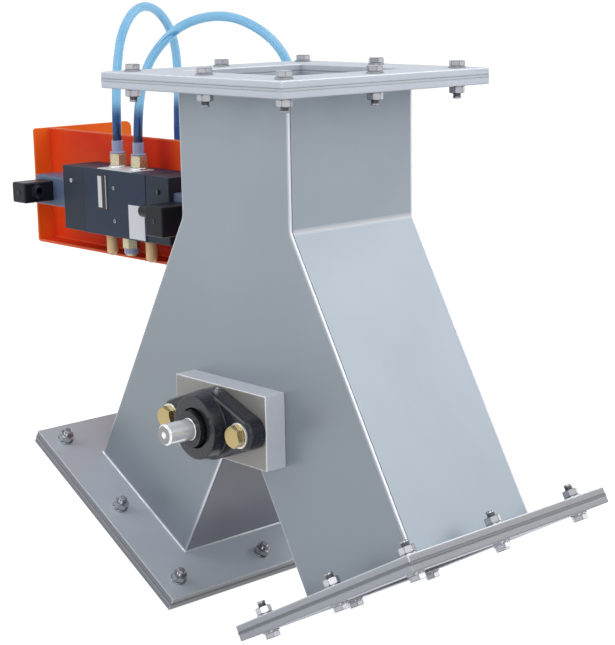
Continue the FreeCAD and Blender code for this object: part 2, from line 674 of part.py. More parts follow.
def flap_seal():
    """Rubber edge with a round tip, pushed over the blade."""
    reach = INSIDE - TIP_SEAL_GAP
    half = TIP_SEAL / 2
    grip = BLADE_REACH - TIP_SEAL_GRIP
    body = box(-half, half, -reach, reach, SHAFT_Z + grip, SHAFT_Z + TIP_REACH)
    tip = rod(above_shaft(TIP_REACH, 0, -reach), AXIS_Y, half, 2 * reach)
    slot_half = BLADE / 2 + FIT
    slot = box(-slot_half, slot_half, -reach, reach, SHAFT_Z + grip, SHAFT_Z + BLADE_REACH + FIT)
    return body.fuse(tip).removeSplitter().cut(slot)


def flap_screws():
    """Screws and nuts through the cheeks and the blade."""
    pieces = []
    face = CHEEK_WIDTH / 2
    for y in screw_rows():
        shank = CHEEK_WIDTH + M6["nut"] + SHORT_END
        pieces.append(bolt(M6, above_shaft(SCREW_LINE, face, y), AXIS_X, shank))
        pieces.append(nut(M6, above_shaft(SCREW_LINE, -face, y), AXIS_X * -1))
    return group(pieces)


def lever():
    """Slotted lever on the shaft's rear end."""
    arm = link(V(0, 0, SHAFT_Z), LEVER_HUB_RADIUS, above_shaft(SLOT_TOP), SLOT_HALF + LEVER_RIM)
    arm.translate(AXIS_Y * (LEVER_Y - LEVER_PLATE / 2))
    arm = arm.extrude(AXIS_Y * LEVER_PLATE)
    hub = rod(V(0, BEARING_FRONT, SHAFT_Z), AXIS_Y, LEVER_HUB_RADIUS, LEVER_HUB)
    low, high = above_shaft(LEVER_RISE - SLOT_END_PLAY), above_shaft(SLOT_TOP + SLOT_END_PLAY)
    ends = [rod(point + AXIS_Y * BEARING_FRONT, AXIS_Y, SLOT_HALF, LEVER_HUB) for point in (low, high)]
    middle = box(-SLOT_HALF, SLOT_HALF, BEARING_FRONT, SHAFT_REAR, low.z, high.z)
    bore = rod(V(0, BEARING_FRONT, SHAFT_Z), AXIS_Y, SHAFT_RADIUS + FIT, LEVER_HUB)
    return arm.fuse(hub).removeSplitter().cut(ends + [middle, bore, key_box(FIT)])


def lever_end_bolt():
    """Bolt and thick washer that hold the lever on the shaft."""
    plate = ring(V(0, SHAFT_REAR, SHAFT_Z), AXIS_Y, END_WASHER_RADIUS, M8["r"] + BOLT_PLAY, END_WASHER)
    shank = END_WASHER + END_BOLT - SHORT_END
    return group([plate, bolt(M8, V(0, SHAFT_REAR + END_WASHER, SHAFT_Z), AXIS_Y, shank)])


def add_flap(parts):
    """Everything that turns with the shaft."""
    parts["flap_shaft"] = at_rest(flap_shaft())
    parts["flap_hub"] = at_rest(flap_hub())
    parts["flap_blade"] = at_rest(flap_blade())
    parts["flap_seal"] = at_rest(flap_seal())
    parts["flap_screws"] = at_rest(flap_screws())
    parts["lever"] = at_rest(lever())
    parts["lever_key"] = at_rest(key_box(0.0))
    parts["lever_end_bolt"] = at_rest(lever_end_bolt())


# Console


def wall_side(depth):
    """X of a line that runs beside the neck and the left leg, at a depth below the inlet."""
    slope = max(0.0, depth - NECK) * SIN / COS
    return -HALF - slope - PANEL_GAP / COS


def console_tabs():
    """Two tabs that lie on the neck and on the left leg, with their stud holes."""
    tab = box(-TAB_HEIGHT / 2, TAB_HEIGHT / 2, -TAB_WIDTH, 0, 0, CONSOLE_SHEET)
    holes = [rod(V(x, -TAB_WIDTH / 2, 0), AXIS_Z, M8["r"] + BOLT_PLAY, CONSOLE_SHEET) for x in stud_places()]
    tab = tab.cut(holes)
    return [place(tab, origin, turn) for origin, turn in tab_seats(PANEL_Y + CONSOLE_SHEET)]


def stud_places():
    """Studs along a tab."""
    return (-STUD_PITCH / 2, STUD_PITCH / 2)


def tab_seats(y):
    """Places of the tabs: the middle of the tab's rear edge on the duct, and the turn."""
    x, z = leg_point(-1, LEG_TAB, 0)
    return [(V(-HALF, y, -NECK_TAB), FreeCAD.Rotation(AXIS_Y, -90)),
            (V(x, y, z), FreeCAD.Rotation(AXIS_Y, LEG_ANGLE - 90))]


def console_panel():
    """Upright panel that carries the valve, with its two tabs."""
    left = END_WALL_X + CONSOLE_SHEET
    deep = CONSOLE_TOP + CONSOLE_HEIGHT - CONSOLE_SHEET
    corners = [(left, -CONSOLE_TOP, 0), (wall_side(0), -CONSOLE_TOP, 0), (wall_side(NECK), -NECK, BEND),
               (wall_side(deep), -deep, 0), (left, -deep, 0)]
    panel = slab(corners, PANEL_Y, PANEL_Y + CONSOLE_SHEET)
    return panel.fuse(console_tabs()).removeSplitter()


def console_floor():
    """Floor that carries the cylinder, cut away round the body."""
    beside = wall_side(CONSOLE_TOP + CONSOLE_HEIGHT)
    behind = FRONT_CAP_X + FOOT_PLATE + FOOT_REACH + CONSOLE_SHEET
    left = END_WALL_X + CONSOLE_SHEET
    clear = HALF + PANEL_GAP
    low = FLOOR_TOP - CONSOLE_SHEET
    floor = box(left, beside, CONSOLE_FRONT, CONSOLE_REAR, low, FLOOR_TOP)
    floor = floor.fuse(box(left, behind, clear, CONSOLE_REAR, low, FLOOR_TOP)).removeSplitter()
    hole = M8["r"] + BOLT_PLAY
    return floor.cut([rod(V(x, y, low), AXIS_Z, hole, CONSOLE_SHEET) for x, y in foot_bolt_places()])


def console_end_wall():
    """End wall with its upper rear corner rounded."""
    corners = [(CONSOLE_FRONT, FLOOR_TOP - CONSOLE_SHEET, CONSOLE_SHEET),
               (CONSOLE_REAR, FLOOR_TOP - CONSOLE_SHEET, CONSOLE_SHEET),
               (CONSOLE_REAR, -CONSOLE_TOP, WALL_CORNER), (CONSOLE_FRONT, -CONSOLE_TOP, CONSOLE_SHEET)]
    wall = slab(corners, 0, CONSOLE_SHEET)
    return place(wall, V(END_WALL_X + CONSOLE_SHEET, 0, 0), FreeCAD.Rotation(AXIS_Z, 90))


def console_fasteners():
    """Welded studs with washers and nuts on the tabs."""
    pieces = []
    for origin, turn in tab_seats(PANEL_Y + CONSOLE_SHEET - TAB_WIDTH / 2):
        for x in stud_places():
            seat = CONSOLE_SHEET + M8["washer_t"]
            made = [rod(V(x, 0, 0), AXIS_Z, M8["r"], STUD), washer(M8, V(x, 0, CONSOLE_SHEET), AXIS_Z),
                    nut(M8, V(x, 0, seat), AXIS_Z)]
            pieces += [place(piece, origin, turn) for piece in made]
    return group(pieces)


def add_console(parts):
    """Console and what holds it on the body."""
    parts["console_panel"] = console_panel()
    parts["console_floor"] = console_floor()
    parts["console_end_wall"] = console_end_wall()
    parts["console_fasteners"] = console_fasteners()


# Cylinder and rod


def on_cylinder(x, y=0.0, z=0.0):
    """Point given from the cylinder's axis."""
    return V(x, LEVER_Y + y, CYLINDER_Z + z)


def tie_rod_places():
    """Four tie rods round the barrel."""
    return [(y, z) for y in (-TIE_ROD_OFFSET, TIE_ROD_OFFSET) for z in (-TIE_ROD_OFFSET, TIE_ROD_OFFSET)]


def cylinder_block(x, length, bore):
    """Square block round the cylinder's axis with tie rod holes and a bore."""
    half = CAP_SIZE / 2
    block = box(x, x + length, LEVER_Y - half, LEVER_Y + half, CYLINDER_Z - half, CYLINDER_Z + half)
    hole = TIE_ROD_RADIUS + BOLT_PLAY
    holes = [rod(on_cylinder(x, y, z), AXIS_X, hole, length) for y, z in tie_rod_places()]
    if bore:
        holes.append(rod(on_cylinder(x), AXIS_X, bore, length))
    return rounded(block, CAP_ROUND, lambda e: along(e, AXIS_X)).cut(holes)


def front_cap():
    """Front cap with the rod's guide nose."""
    nose = ring(on_cylinder(FRONT_CAP_X), AXIS_X, NOSE_RADIUS, ROD_RADIUS + RUNNING, NOSE)
    cap = cylinder_block(FRONT_CAP_X - CAP_LENGTH, CAP_LENGTH, ROD_RADIUS + RUNNING)
    return cap.fuse(nose).removeSplitter()


def barrel():
    """Round tube between the caps."""
    start = on_cylinder(REAR_CAP_X + CAP_LENGTH)
    return ring(start, AXIS_X, CYLINDER_BORE + BARREL_WALL, CYLINDER_BORE, BARREL)


def tie_rods():
    """Rods with a nut at each end, outside the feet."""
    pieces = []
    reach = FOOT_PLATE + M8["nut"] + TIE_ROD_END
    for y, z in tie_rod_places():
        start = on_cylinder(REAR_CAP_X - reach, y, z)
        pieces.append(rod(start, AXIS_X, TIE_ROD_RADIUS, FRONT_CAP_X - REAR_CAP_X + 2 * reach))
        pieces.append(nut(M8, on_cylinder(REAR_CAP_X - FOOT_PLATE, y, z), AXIS_X * -1))
        pieces.append(nut(M8, on_cylinder(FRONT_CAP_X + FOOT_PLATE, y, z), AXIS_X))
    return group(pieces)


def foot_ends():
    """Cap face and outward direction of the two feet."""
    return ((REAR_CAP_X, -1), (FRONT_CAP_X, 1))


def foot_bolt_places():
    """Bolts of the feet on the floor."""
    spots = []
    for face, way in foot_ends():
        x = face + way * (FOOT_PLATE + FOOT_REACH / 2)
        spots += [(x, LEVER_Y - FOOT_BOLT_PITCH / 2), (x, LEVER_Y + FOOT_BOLT_PITCH / 2)]
    return spots


def cylinder_foot(face, way):
    """Angle bracket clamped on a cap by the tie rods."""
    half = CAP_SIZE / 2
    near, far = face, face + way * FOOT_PLATE
    end = far + way * FOOT_REACH
    side, other = LEVER_Y - half, LEVER_Y + half
    start = min(near, far)
    upright = box(start, max(near, far), side, other, FLOOR_TOP, CYLINDER_Z + half)
    upright = rounded(upright, CAP_ROUND, lambda e: along(e, AXIS_X) and e.CenterOfMass.z > CYLINDER_Z)
    base = box(min(near, end), max(near, end), side, other, FLOOR_TOP, FLOOR_TOP + FOOT_BASE)
    hole = TIE_ROD_RADIUS + BOLT_PLAY
    cuts = [rod(on_cylinder(start, y, z), AXIS_X, hole, FOOT_PLATE) for y, z in tie_rod_places()]
    cuts.append(rod(on_cylinder(start), AXIS_X, NOSE_RADIUS + BOLT_PLAY, FOOT_PLATE))
    cuts += [rod(V(x, y, FLOOR_TOP), AXIS_Z, M8["r"] + BOLT_PLAY, FOOT_BASE) for x, y in foot_bolt_places()]
    return upright.fuse(base).removeSplitter().cut(cuts)


def foot_bolts():
    """Bolts and nuts that hold the feet on the floor."""
    pieces = []
    low = FLOOR_TOP - CONSOLE_SHEET
    for x, y in foot_bolt_places():
        shank = FOOT_BASE + CONSOLE_SHEET + M8["nut"] + SHORT_END
        pieces.append(bolt(M8, V(x, y, FLOOR_TOP + FOOT_BASE), AXIS_Z, shank))
        pieces.append(nut(M8, V(x, y, low), AXIS_Z * -1))
    return group(pieces)


def piston_rod():
    """Rod with a thread at each end, from the piston to the fork."""
    start = REAR_CAP_X + CAP_LENGTH + PISTON_REST + PISTON
    bar = rod(on_cylinder(start), AXIS_X, ROD_RADIUS, ROD_END - start)
    front = rod(on_cylinder(ROD_END), AXIS_X, FORK_SPIGOT, LOCK_NUT + FORK_SPIGOT_DEPTH)
    rear = rod(on_cylinder(start - PISTON), AXIS_X, FORK_SPIGOT, PISTON)
    return bar.fuse([front, rear]).removeSplitter()


def piston():
    """Piston with two seal grooves."""
    start = REAR_CAP_X + CAP_LENGTH + PISTON_REST
    disc = ring(on_cylinder(start), AXIS_X, CYLINDER_BORE - RUNNING, FORK_SPIGOT + FIT, PISTON)
    floor = CYLINDER_BORE - PISTON_GROOVE_DEPTH
    places = (PISTON_LAND, PISTON - PISTON_LAND - PISTON_GROOVE)
    cuts = [ring(on_cylinder(start + x), AXIS_X, CYLINDER_BORE, floor, PISTON_GROOVE) for x in places]
    return disc.cut(cuts)


def rod_fork():
    """Fork over the lever, with its lock nut."""
    half = FORK_SIZE / 2
    tip = PIN_X + FORK_NOSE
    block = box(FORK_BACK, tip, LEVER_Y - half, LEVER_Y + half, CYLINDER_Z - half, CYLINDER_Z + half)
    block = rounded(block, FORK_ROUND, lambda e: along(e, AXIS_Y) and e.CenterOfMass.x > PIN_X)
    gap = LEVER_PLATE / 2 + FORK_GAP
    cuts = [box(PIN_X - FORK_THROAT, tip, LEVER_Y - gap, LEVER_Y + gap, CYLINDER_Z - half, CYLINDER_Z + half),
            rod(on_cylinder(PIN_X, -half), AXIS_Y, PIN_RADIUS + FIT, FORK_SIZE),
            rod(on_cylinder(FORK_BACK), AXIS_X, FORK_SPIGOT + FIT, FORK_SPIGOT_DEPTH)]
    lock = hexagon(on_cylinder(ROD_END), AXIS_X, LOCK_NUT_FLATS, LOCK_NUT)
    lock = lock.cut(rod(on_cylinder(ROD_END), AXIS_X, FORK_SPIGOT + FIT, LOCK_NUT))
    return group([block.cut(cuts), lock])


def fork_pin():
    """Pin that runs in the lever's slot, with a head and a clip."""
    half = FORK_SIZE / 2
    pin = rod(on_cylinder(PIN_X, -half), AXIS_Y, PIN_RADIUS, FORK_SIZE + PIN_HEAD)
    head = rod(on_cylinder(PIN_X, -half - PIN_HEAD), AXIS_Y, PIN_HEAD_RADIUS, PIN_HEAD)
    clip = ring(on_cylinder(PIN_X, half), AXIS_Y, PIN_HEAD_RADIUS, PIN_RADIUS + FIT, PIN_HEAD / 2)
    return group([pin.fuse(head).removeSplitter(), clip])


def add_cylinder(parts):
    """Cylinder on its feet, and the rod that it moves."""
    parts["cylinder_barrel"] = barrel()
    parts["cylinder_rear_cap"] = cylinder_block(REAR_CAP_X, CAP_LENGTH, 0)
    parts["cylinder_front_cap"] = front_cap()
    parts["tie_rods"] = tie_rods()
    parts["cylinder_feet"] = group([cylinder_foot(face, way) for face, way in foot_ends()])
    parts["foot_bolts"] = foot_bolts()
    parts["piston_rod"] = piston_rod()
    parts["piston"] = piston()
    parts["rod_fork"] = rod_fork()
    parts["fork_pin"] = fork_pin()


# Valve


def valve_block(x0, x1, y0, drop, height, depth):
    """Block of the valve, given from its top and its front."""
    return box(x0, x1, y0, y0 + depth, -VALVE_TOP - drop - height, -VALVE_TOP - drop)


def valve_body():
    """Middle of the valve."""
    half = VALVE_LENGTH / 2
    block = valve_block(VALVE_X - half, VALVE_X + half, VALVE_Y, 0, VALVE_HEIGHT, VALVE_DEPTH)
    return rounded(block, VALVE_ROUND)


def button_bore(side, radius, y0, length):
    """Round bar at a button's place."""
    x = VALVE_X + side * (VALVE_LENGTH / 2 + BUTTON_INSET)
    return rod(V(x, y0, -VALVE_TOP - BUTTON_DROP), AXIS_Y, radius, length)


def pilot_cap(side):
    """Pilot cap at one end of the valve, bored for its button."""
    near = VALVE_X + side * VALVE_LENGTH / 2
    far = near + side * PILOT_LENGTH
    face = VALVE_Y + PILOT_STEP
    block = valve_block(min(near, far), max(near, far), face, PILOT_STEP, VALVE_HEIGHT - 2 * PILOT_STEP,
                        VALVE_DEPTH - PILOT_STEP)
    deep = BUTTON - BUTTON_PROUD + BUTTON_SPACE
    return rounded(block, VALVE_ROUND).cut(button_bore(side, BUTTON_RADIUS + RUNNING, face, deep))


def override_button(side):
    """Manual override button, out at rest."""
    return button_bore(side, BUTTON_RADIUS, VALVE_Y + PILOT_STEP - BUTTON_PROUD, BUTTON)


def coil_end(side):
    """X of a coil's free end."""
    return VALVE_X + side * COIL_REACH


def coil(side):
    """Solenoid coil at one end of the valve."""
    far = coil_end(side)
    near = far - side * COIL_LENGTH
    face = VALVE_Y + COIL_SETBACK
    block = valve_block(min(near, far), max(near, far), face, COIL_DROP, COIL_HEIGHT, COIL_DEPTH)
    return rounded(block, COIL_ROUND, lambda e: abs(e.CenterOfMass.x - near) > COIL_ROUND)


def coil_nut(side):
    """Nut on the free end of a coil."""
    y = VALVE_Y + COIL_SETBACK + COIL_DEPTH / 2
    z = -VALVE_TOP - COIL_DROP - COIL_HEIGHT / 2
    return hexagon(V(coil_end(side), y, z), AXIS_X * side, COIL_NUT_FLATS, COIL_NUT)


def plug(side, size):
    """Plug connector on the front of a coil."""
    end = coil_end(side) - side * size["from_end"]
    start = end - side * size["width"]
    back = VALVE_Y + COIL_SETBACK
    block = valve_block(min(start, end), max(start, end), back - PLUG_DEPTH, size["drop"], size["height"],
                        PLUG_DEPTH)
    return rounded(block, PLUG_ROUND, lambda e: e.CenterOfMass.y < back - PLUG_ROUND)


def gland(side, size):
    """Cable gland on a connector, towards the valve's middle."""
    inward = AXIS_X * -side
    x = coil_end(side) - side * (size["from_end"] + size["width"])
    y = VALVE_Y + COIL_SETBACK - PLUG_DEPTH + GLAND_SETBACK
    start = V(x, y, -VALVE_TOP - size["drop"] - GLAND_DROP)
    mouth = start + inward * (size["gland_hex"] + size["gland_nut"])
    collar = hexagon(start, inward, GLAND_FLATS, size["gland_hex"])
    cap = rod(start + inward * size["gland_hex"], inward, GLAND_NUT_RADIUS, size["gland_nut"])
    return collar.fuse(cap).removeSplitter().cut(rod(mouth, inward * -1, GLAND_BORE, GLAND_BORE_DEPTH))


def fitting(foot, axis):
    """Straight push-in fitting: brass hexagon on its sealing washer, and the release collar."""
    seat = rod(foot, axis, FITTING_WASHER_RADIUS, FITTING_WASHER)
    body = hexagon(foot + axis * FITTING_WASHER, axis, FITTING_FLATS, FITTING_HEX)
    rim = foot + axis * (FITTING_WASHER + FITTING_HEX)
    sleeve = ring(rim + axis * COLLAR, axis, COLLAR_SLEEVE_RADIUS, TUBE / 2 + COLLAR_PLAY, COLLAR_SLEEVE)
    collar = rod(rim, axis, COLLAR_RADIUS, COLLAR).fuse(sleeve).removeSplitter()
    return seat.fuse(body).removeSplitter(), collar


def valve_port(side):
    """Foot of a fitting on the valve's top."""
    return V(VALVE_X + side * PORT_PITCH / 2, PORT_Y, -VALVE_TOP)


def cylinder_ports():
    """Feet of the fittings on the cylinder, rear and front."""
    half = CAP_SIZE / 2
    return on_cylinder(REAR_CAP_X + PORT_INSET, 0, half), on_cylinder(FRONT_CAP_X - PORT_INSET, 0, half)


def supply_fitting():
    """Open fitting for the supply tube under the valve, and its collar."""
    foot = V(VALVE_X, PORT_Y, VALVE_BOTTOM)
    down = AXIS_Z * -1
    seat = rod(foot, down, FITTING_WASHER_RADIUS, FITTING_WASHER)
    body = hexagon(foot + down * FITTING_WASHER, down, FITTING_FLATS, SUPPLY_HEX)
    edge = FITTING_WASHER + SUPPLY_HEX
    sleeve = rod(foot + down * edge, down, SUPPLY_SLEEVE_RADIUS, SUPPLY_SLEEVE)
    mouth = foot + down * (edge + SUPPLY_SLEEVE)
    brass = seat.fuse([body, sleeve]).removeSplitter().cut(rod(mouth, AXIS_Z, TUBE / 2 + FIT, SUPPLY_DEPTH))
    collar = ring(foot + down * edge, down, COLLAR_RADIUS, SUPPLY_SLEEVE_RADIUS + FIT, SUPPLY_COLLAR)
    return brass, collar


def silencer(side):
    """Sintered silencer under the valve."""
    down = AXIS_Z * -1
    foot = V(VALVE_X + side * EXHAUST_PITCH / 2, PORT_Y, VALVE_BOTTOM)
    grip = hexagon(foot, down, SILENCER_FLATS, SILENCER_HEX)
    body = rod(foot + down * SILENCER_HEX, down, SILENCER_RADIUS, SILENCER)
    tip = Part.makeCone(SILENCER_RADIUS, SILENCER_RADIUS / 2, SILENCER_TIP,
                        foot + down * (SILENCER_HEX + SILENCER), down)
    return grip.fuse([body, tip]).removeSplitter()


def add_valve(parts):
    """Valve, its buttons, plugs and fittings, and the fittings on the cylinder."""
    sides = (-1, 1)
    parts["valve_body"] = valve_body()
    parts["pilot_caps"] = group([pilot_cap(side) for side in sides])
    parts["valve_coils"] = group([make(side) for make in (coil, coil_nut) for side in sides])
    plugs = ((-1, LEFT_PLUG), (1, RIGHT_PLUG))
    parts["coil_connectors"] = group([make(side, size) for make in (plug, gland) for side, size in plugs])
    parts["left_override_button"] = override_button(-1)
    parts["right_override_button"] = override_button(1)
    feet = [valve_port(side) for side in sides] + list(cylinder_ports())
    made = [fitting(foot, AXIS_Z) for foot in feet]
    brass, collar = supply_fitting()
    parts["port_fittings"] = group([body for body, _ in made])
    parts["supply_fitting"] = brass
    parts["release_collars"] = group([ring_piece for _, ring_piece in made] + [collar])
    parts["silencers"] = group([silencer(side) for side in sides])


# Air tubes


def tube(points):
    """Tube along straight runs joined by tangent arcs, with the radii of its arcs."""
    edges, radii = [], []
    last = points[0]
    for before, here, after in zip(points, points[1:], points[2:]):
        back, onward = before - here, after - here
        reach = TUBE_ARC * min(back.Length, onward.Length)
        back.normalize()
        onward.normalize()
        half = back.getAngle(onward) / 2
        radius = reach * math.tan(half)
        middle = (back + onward).normalize()
        crest = here + middle * (radius / math.sin(half) - radius)
        edges.append(Part.LineSegment(last, here + back * reach).toShape())
        edges.append(Part.Arc(here + back * reach, crest, here + onward * reach).toShape())
        last = here + onward * reach
        radii.append(radius)
    edges.append(Part.LineSegment(last, points[-1]).toShape())
    path = Part.Wire(edges)
    section = Part.Wire(Part.Circle(points[0], points[1] - points[0], TUBE / 2).toShape())
    return path.makePipeShell([section], True, False), path.Length, radii


def add_tubes(parts):
    """Tubes from the valve to the cylinder."""
    routes = (("air_tube_a", -1, TUBE_A), ("air_tube_b", 1, TUBE_B))
    for (name, side, route), port in zip(routes, cylinder_ports()):
        start, end = valve_port(side) + AXIS_Z * FITTING, port + AXIS_Z * FITTING
        points = [start, start + AXIS_Z * route["rise"]] + [V(*point) for point in route["bends"]]
        points += [end + AXIS_Z * route["fall"], end]
        shape, length, radii = tube(points)
        parts[name] = shape
        expected = math.pi * (TUBE / 2) ** 2 * length
        print(name, "length", round(length, 1), "volume share", round(shape.Volume / expected, 4),
              "radii", [round(r) for r in radii])


def build():
    """All sub-parts by name."""
    parts = {}
    parts["front_plate"] = cover_plate(-HALF, -INSIDE)
    parts["rear_plate"] = cover_plate(HALF, INSIDE)
    parts["left_side_plate"] = side_plate(-1)
    parts["right_side_plate"] = side_plate(1)
    parts["left_inner_plate"] = inner_plate(-1)
    parts["right_inner_plate"] = inner_plate(1)
    parts["shaft_saddle"] = shaft_saddle()
    add_flanges(parts)
    add_bearings(parts)
    add_flap(parts)
    add_console(parts)
    add_cylinder(parts)
    add_valve(parts)
    add_tubes(parts)
    return parts


os.makedirs("parts", exist_ok=True)
for node, shape in build().items():
    shape.exportStep(os.path.join("parts", node + ".step"))
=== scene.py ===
"""Two-way diverter damper: finishes, fasteners, hoses and studio built round its solid model."""

import json
import logging
import math
from dataclasses import dataclass, replace
from enum import Enum
from functools import cache, partial, reduce
from typing import ClassVar, Optional, Sequence

import bmesh
import bpy
from mathutils import Euler, Matrix, Vector


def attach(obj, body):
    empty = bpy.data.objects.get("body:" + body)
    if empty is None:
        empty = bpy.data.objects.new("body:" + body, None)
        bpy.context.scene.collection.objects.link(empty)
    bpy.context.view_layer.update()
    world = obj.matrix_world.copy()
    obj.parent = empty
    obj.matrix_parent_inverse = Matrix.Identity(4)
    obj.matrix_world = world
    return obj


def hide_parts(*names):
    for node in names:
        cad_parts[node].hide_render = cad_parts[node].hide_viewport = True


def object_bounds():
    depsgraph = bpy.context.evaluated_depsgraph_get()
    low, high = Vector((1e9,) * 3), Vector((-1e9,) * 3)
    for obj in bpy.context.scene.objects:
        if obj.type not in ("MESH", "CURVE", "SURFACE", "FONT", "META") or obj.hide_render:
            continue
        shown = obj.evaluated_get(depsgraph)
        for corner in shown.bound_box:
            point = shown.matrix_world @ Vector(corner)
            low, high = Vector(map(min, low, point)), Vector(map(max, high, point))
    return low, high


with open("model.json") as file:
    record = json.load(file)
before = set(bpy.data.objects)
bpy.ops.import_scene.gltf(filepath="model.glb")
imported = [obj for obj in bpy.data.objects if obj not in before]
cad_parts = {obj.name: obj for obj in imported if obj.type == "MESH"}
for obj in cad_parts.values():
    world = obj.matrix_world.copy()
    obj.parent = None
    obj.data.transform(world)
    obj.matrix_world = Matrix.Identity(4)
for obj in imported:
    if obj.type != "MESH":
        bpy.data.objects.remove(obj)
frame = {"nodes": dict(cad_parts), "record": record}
CAD_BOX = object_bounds()

LOG = logging.getLogger("diverter_damper")
MM = 0.001
WHITE = (1.0, 1.0, 1.0, 1.0)
UP = Matrix.Identity(4)
Pair = tuple[float, float]
Triple = tuple[float, float, float]
Colour = tuple[float, float, float]
Area = tuple[float, float, float, float]
Profile = tuple[Pair, ...]
Node = bpy.types.Node
NodeTree = bpy.types.NodeTree
Socket = bpy.types.NodeSocket


class Body(Enum):
    """Rigid bodies that the added pieces ride on."""

    HOUSING = "housing"
    FLAP = "flap"


class Axis(Enum):
    """Directions along which a finish can change its colour."""

    X = "X"
    Z = "Z"


class Grain(Enum):
    """Surface texture of a finish: stretch of its noise along X, Y and Z."""

    BRUSHED_UPRIGHT = (1.0, 1.0, 0.03)
    BRUSHED_ACROSS = (0.03, 1.0, 1.0)
    EVEN = (1.0, 1.0, 1.0)


class Tree(Enum):
    """Kinds of node group: the type of the tree, and the type of its outputs."""

    SHADER = ("ShaderNodeTree", "NodeSocketFloat")
    GEOMETRY = ("GeometryNodeTree", "NodeSocketGeometry")


# Node groups


class NodeMaker:
    """Adds and links nodes in one tree."""

    MIX_FIRST, MIX_SECOND, MIX_RESULT = 6, 7, 2     # numbers of a Mix node's colour sockets

    def __init__(self, tree: NodeTree) -> None:
        """Takes the tree to fill."""
        self.tree = tree

    def feed(self, node: Node, values: dict) -> Node:
        """Sets or links the inputs of a node.

        Args:
            node: The node.
            values: Input name or number to a value, or to a socket to link from.

        Returns:
            The same node.
        """
        for name, value in values.items():
            if isinstance(value, Socket):
                self.tree.links.new(value, node.inputs[name])
            else:
                node.inputs[name].default_value = value
        return node

    def add(self, kind: str, inputs: Optional[dict] = None, **settings: object) -> Node:
        """Adds a node.

        Args:
            kind: The node's type name.
            inputs: Its inputs, as feed takes them.
            settings: Attributes of the node.

        Returns:
            The new node.
        """
        node = self.tree.nodes.new(kind)
        for name, value in settings.items():
            setattr(node, name, value)
        return self.feed(node, inputs or {})

    def effect(self, tree: NodeTree, inputs: Optional[dict] = None) -> Node:
        """Adds a shared shader group with values of its own."""
        return self.add("ShaderNodeGroup", inputs, node_tree=tree)

    def place(self) -> Socket:
        """Returns the object's own coordinates."""
        return self.add("ShaderNodeTexCoord").outputs["Object"]

    def split(self, vector: Socket) -> bpy.types.NodeOutputs:
        """Returns the X, Y and Z of a vector."""
        return self.add("ShaderNodeSeparateXYZ", {0: vector}).outputs

    def noise(self, place: Socket, settings: dict) -> Socket:
        """Adds noise at a place and returns its value."""
        return self.add("ShaderNodeTexNoise", {"Vector": place, **settings}).outputs[0]

    def math(self, operation: str, *values: object, clamp: bool = False) -> Socket:
        """Adds a Math node on the given values and returns its output."""
        node = self.add("ShaderNodeMath", dict(enumerate(values)), operation=operation, use_clamp=clamp)
        return node.outputs[0]

    def ramp(self, value: Socket, start: float, gain: float) -> Socket:
        """Returns how far a value is past a start, times a gain, held between nought and one."""
        return self.math("MULTIPLY", self.math("SUBTRACT", value, start), gain, clamp=True)

    def remap(self, value: Socket, source: Pair = (0.0, 1.0), target: Pair = (0.0, 1.0),
              **settings: str) -> Socket:
        """Maps one span of values to another and returns the result."""
        ends = dict(zip(("From Min", "From Max", "To Min", "To Max"), (*source, *target)))
        return self.add("ShaderNodeMapRange", {"Value": value, **ends}, **settings).outputs["Result"]

    def mix(self, mask: Socket, first: object, second: Colour) -> Socket:
        """Lays a second colour over a first by a mask and returns the blend."""
        inputs = {"Factor": mask, self.MIX_FIRST: first, self.MIX_SECOND: (*second, 1.0)}
        return self.add("ShaderNodeMix", inputs, data_type="RGBA").outputs[self.MIX_RESULT]

    def put_out(self, sink: Node, values: dict[str, Socket]) -> NodeTree:
        """Links what a group puts out and returns its tree."""
        self.feed(sink, values)
        return self.tree


def new_group(name: str, kind: Tree, inputs: dict[str, object],
              outputs: Sequence[str]) -> tuple[NodeMaker, bpy.types.NodeOutputs, Node]:
    """Makes an empty node group with named sockets.

    Args:
        name: The group's name.
        kind: What the group is for.
        inputs: Socket name to its first value, or to the name of a socket type that has none.
        outputs: Socket names.

    Returns:
        The node maker, what comes in, and the node that puts out.
    """
    sockets = {float: "NodeSocketFloat", int: "NodeSocketInt", tuple: "NodeSocketVector"}
    tree_type, output_type = kind.value
    tree = bpy.data.node_groups.new(name, tree_type)
    for label, first in inputs.items():
        made = tree.interface.new_socket(label, in_out="INPUT", socket_type=sockets.get(type(first), first))
        if type(first) in sockets:
            made.default_value = first
    for label in outputs:
        tree.interface.new_socket(label, in_out="OUTPUT", socket_type=output_type)
    maker = NodeMaker(tree)
    return maker, maker.add("NodeGroupInput").outputs, maker.add("NodeGroupOutput")


def new_material(name: str) -> tuple[bpy.types.Material, NodeMaker, Node]:
    """Makes a material with one Principled shader.

    Args:
        name: The material's name.

    Returns:
        The material, its node maker and its shader.
    """
    material = bpy.data.materials.new(name)
    material.use_nodes = True
    shader = next(node for node in material.node_tree.nodes if node.type == "BSDF_PRINCIPLED")
    return material, NodeMaker(material.node_tree), shader


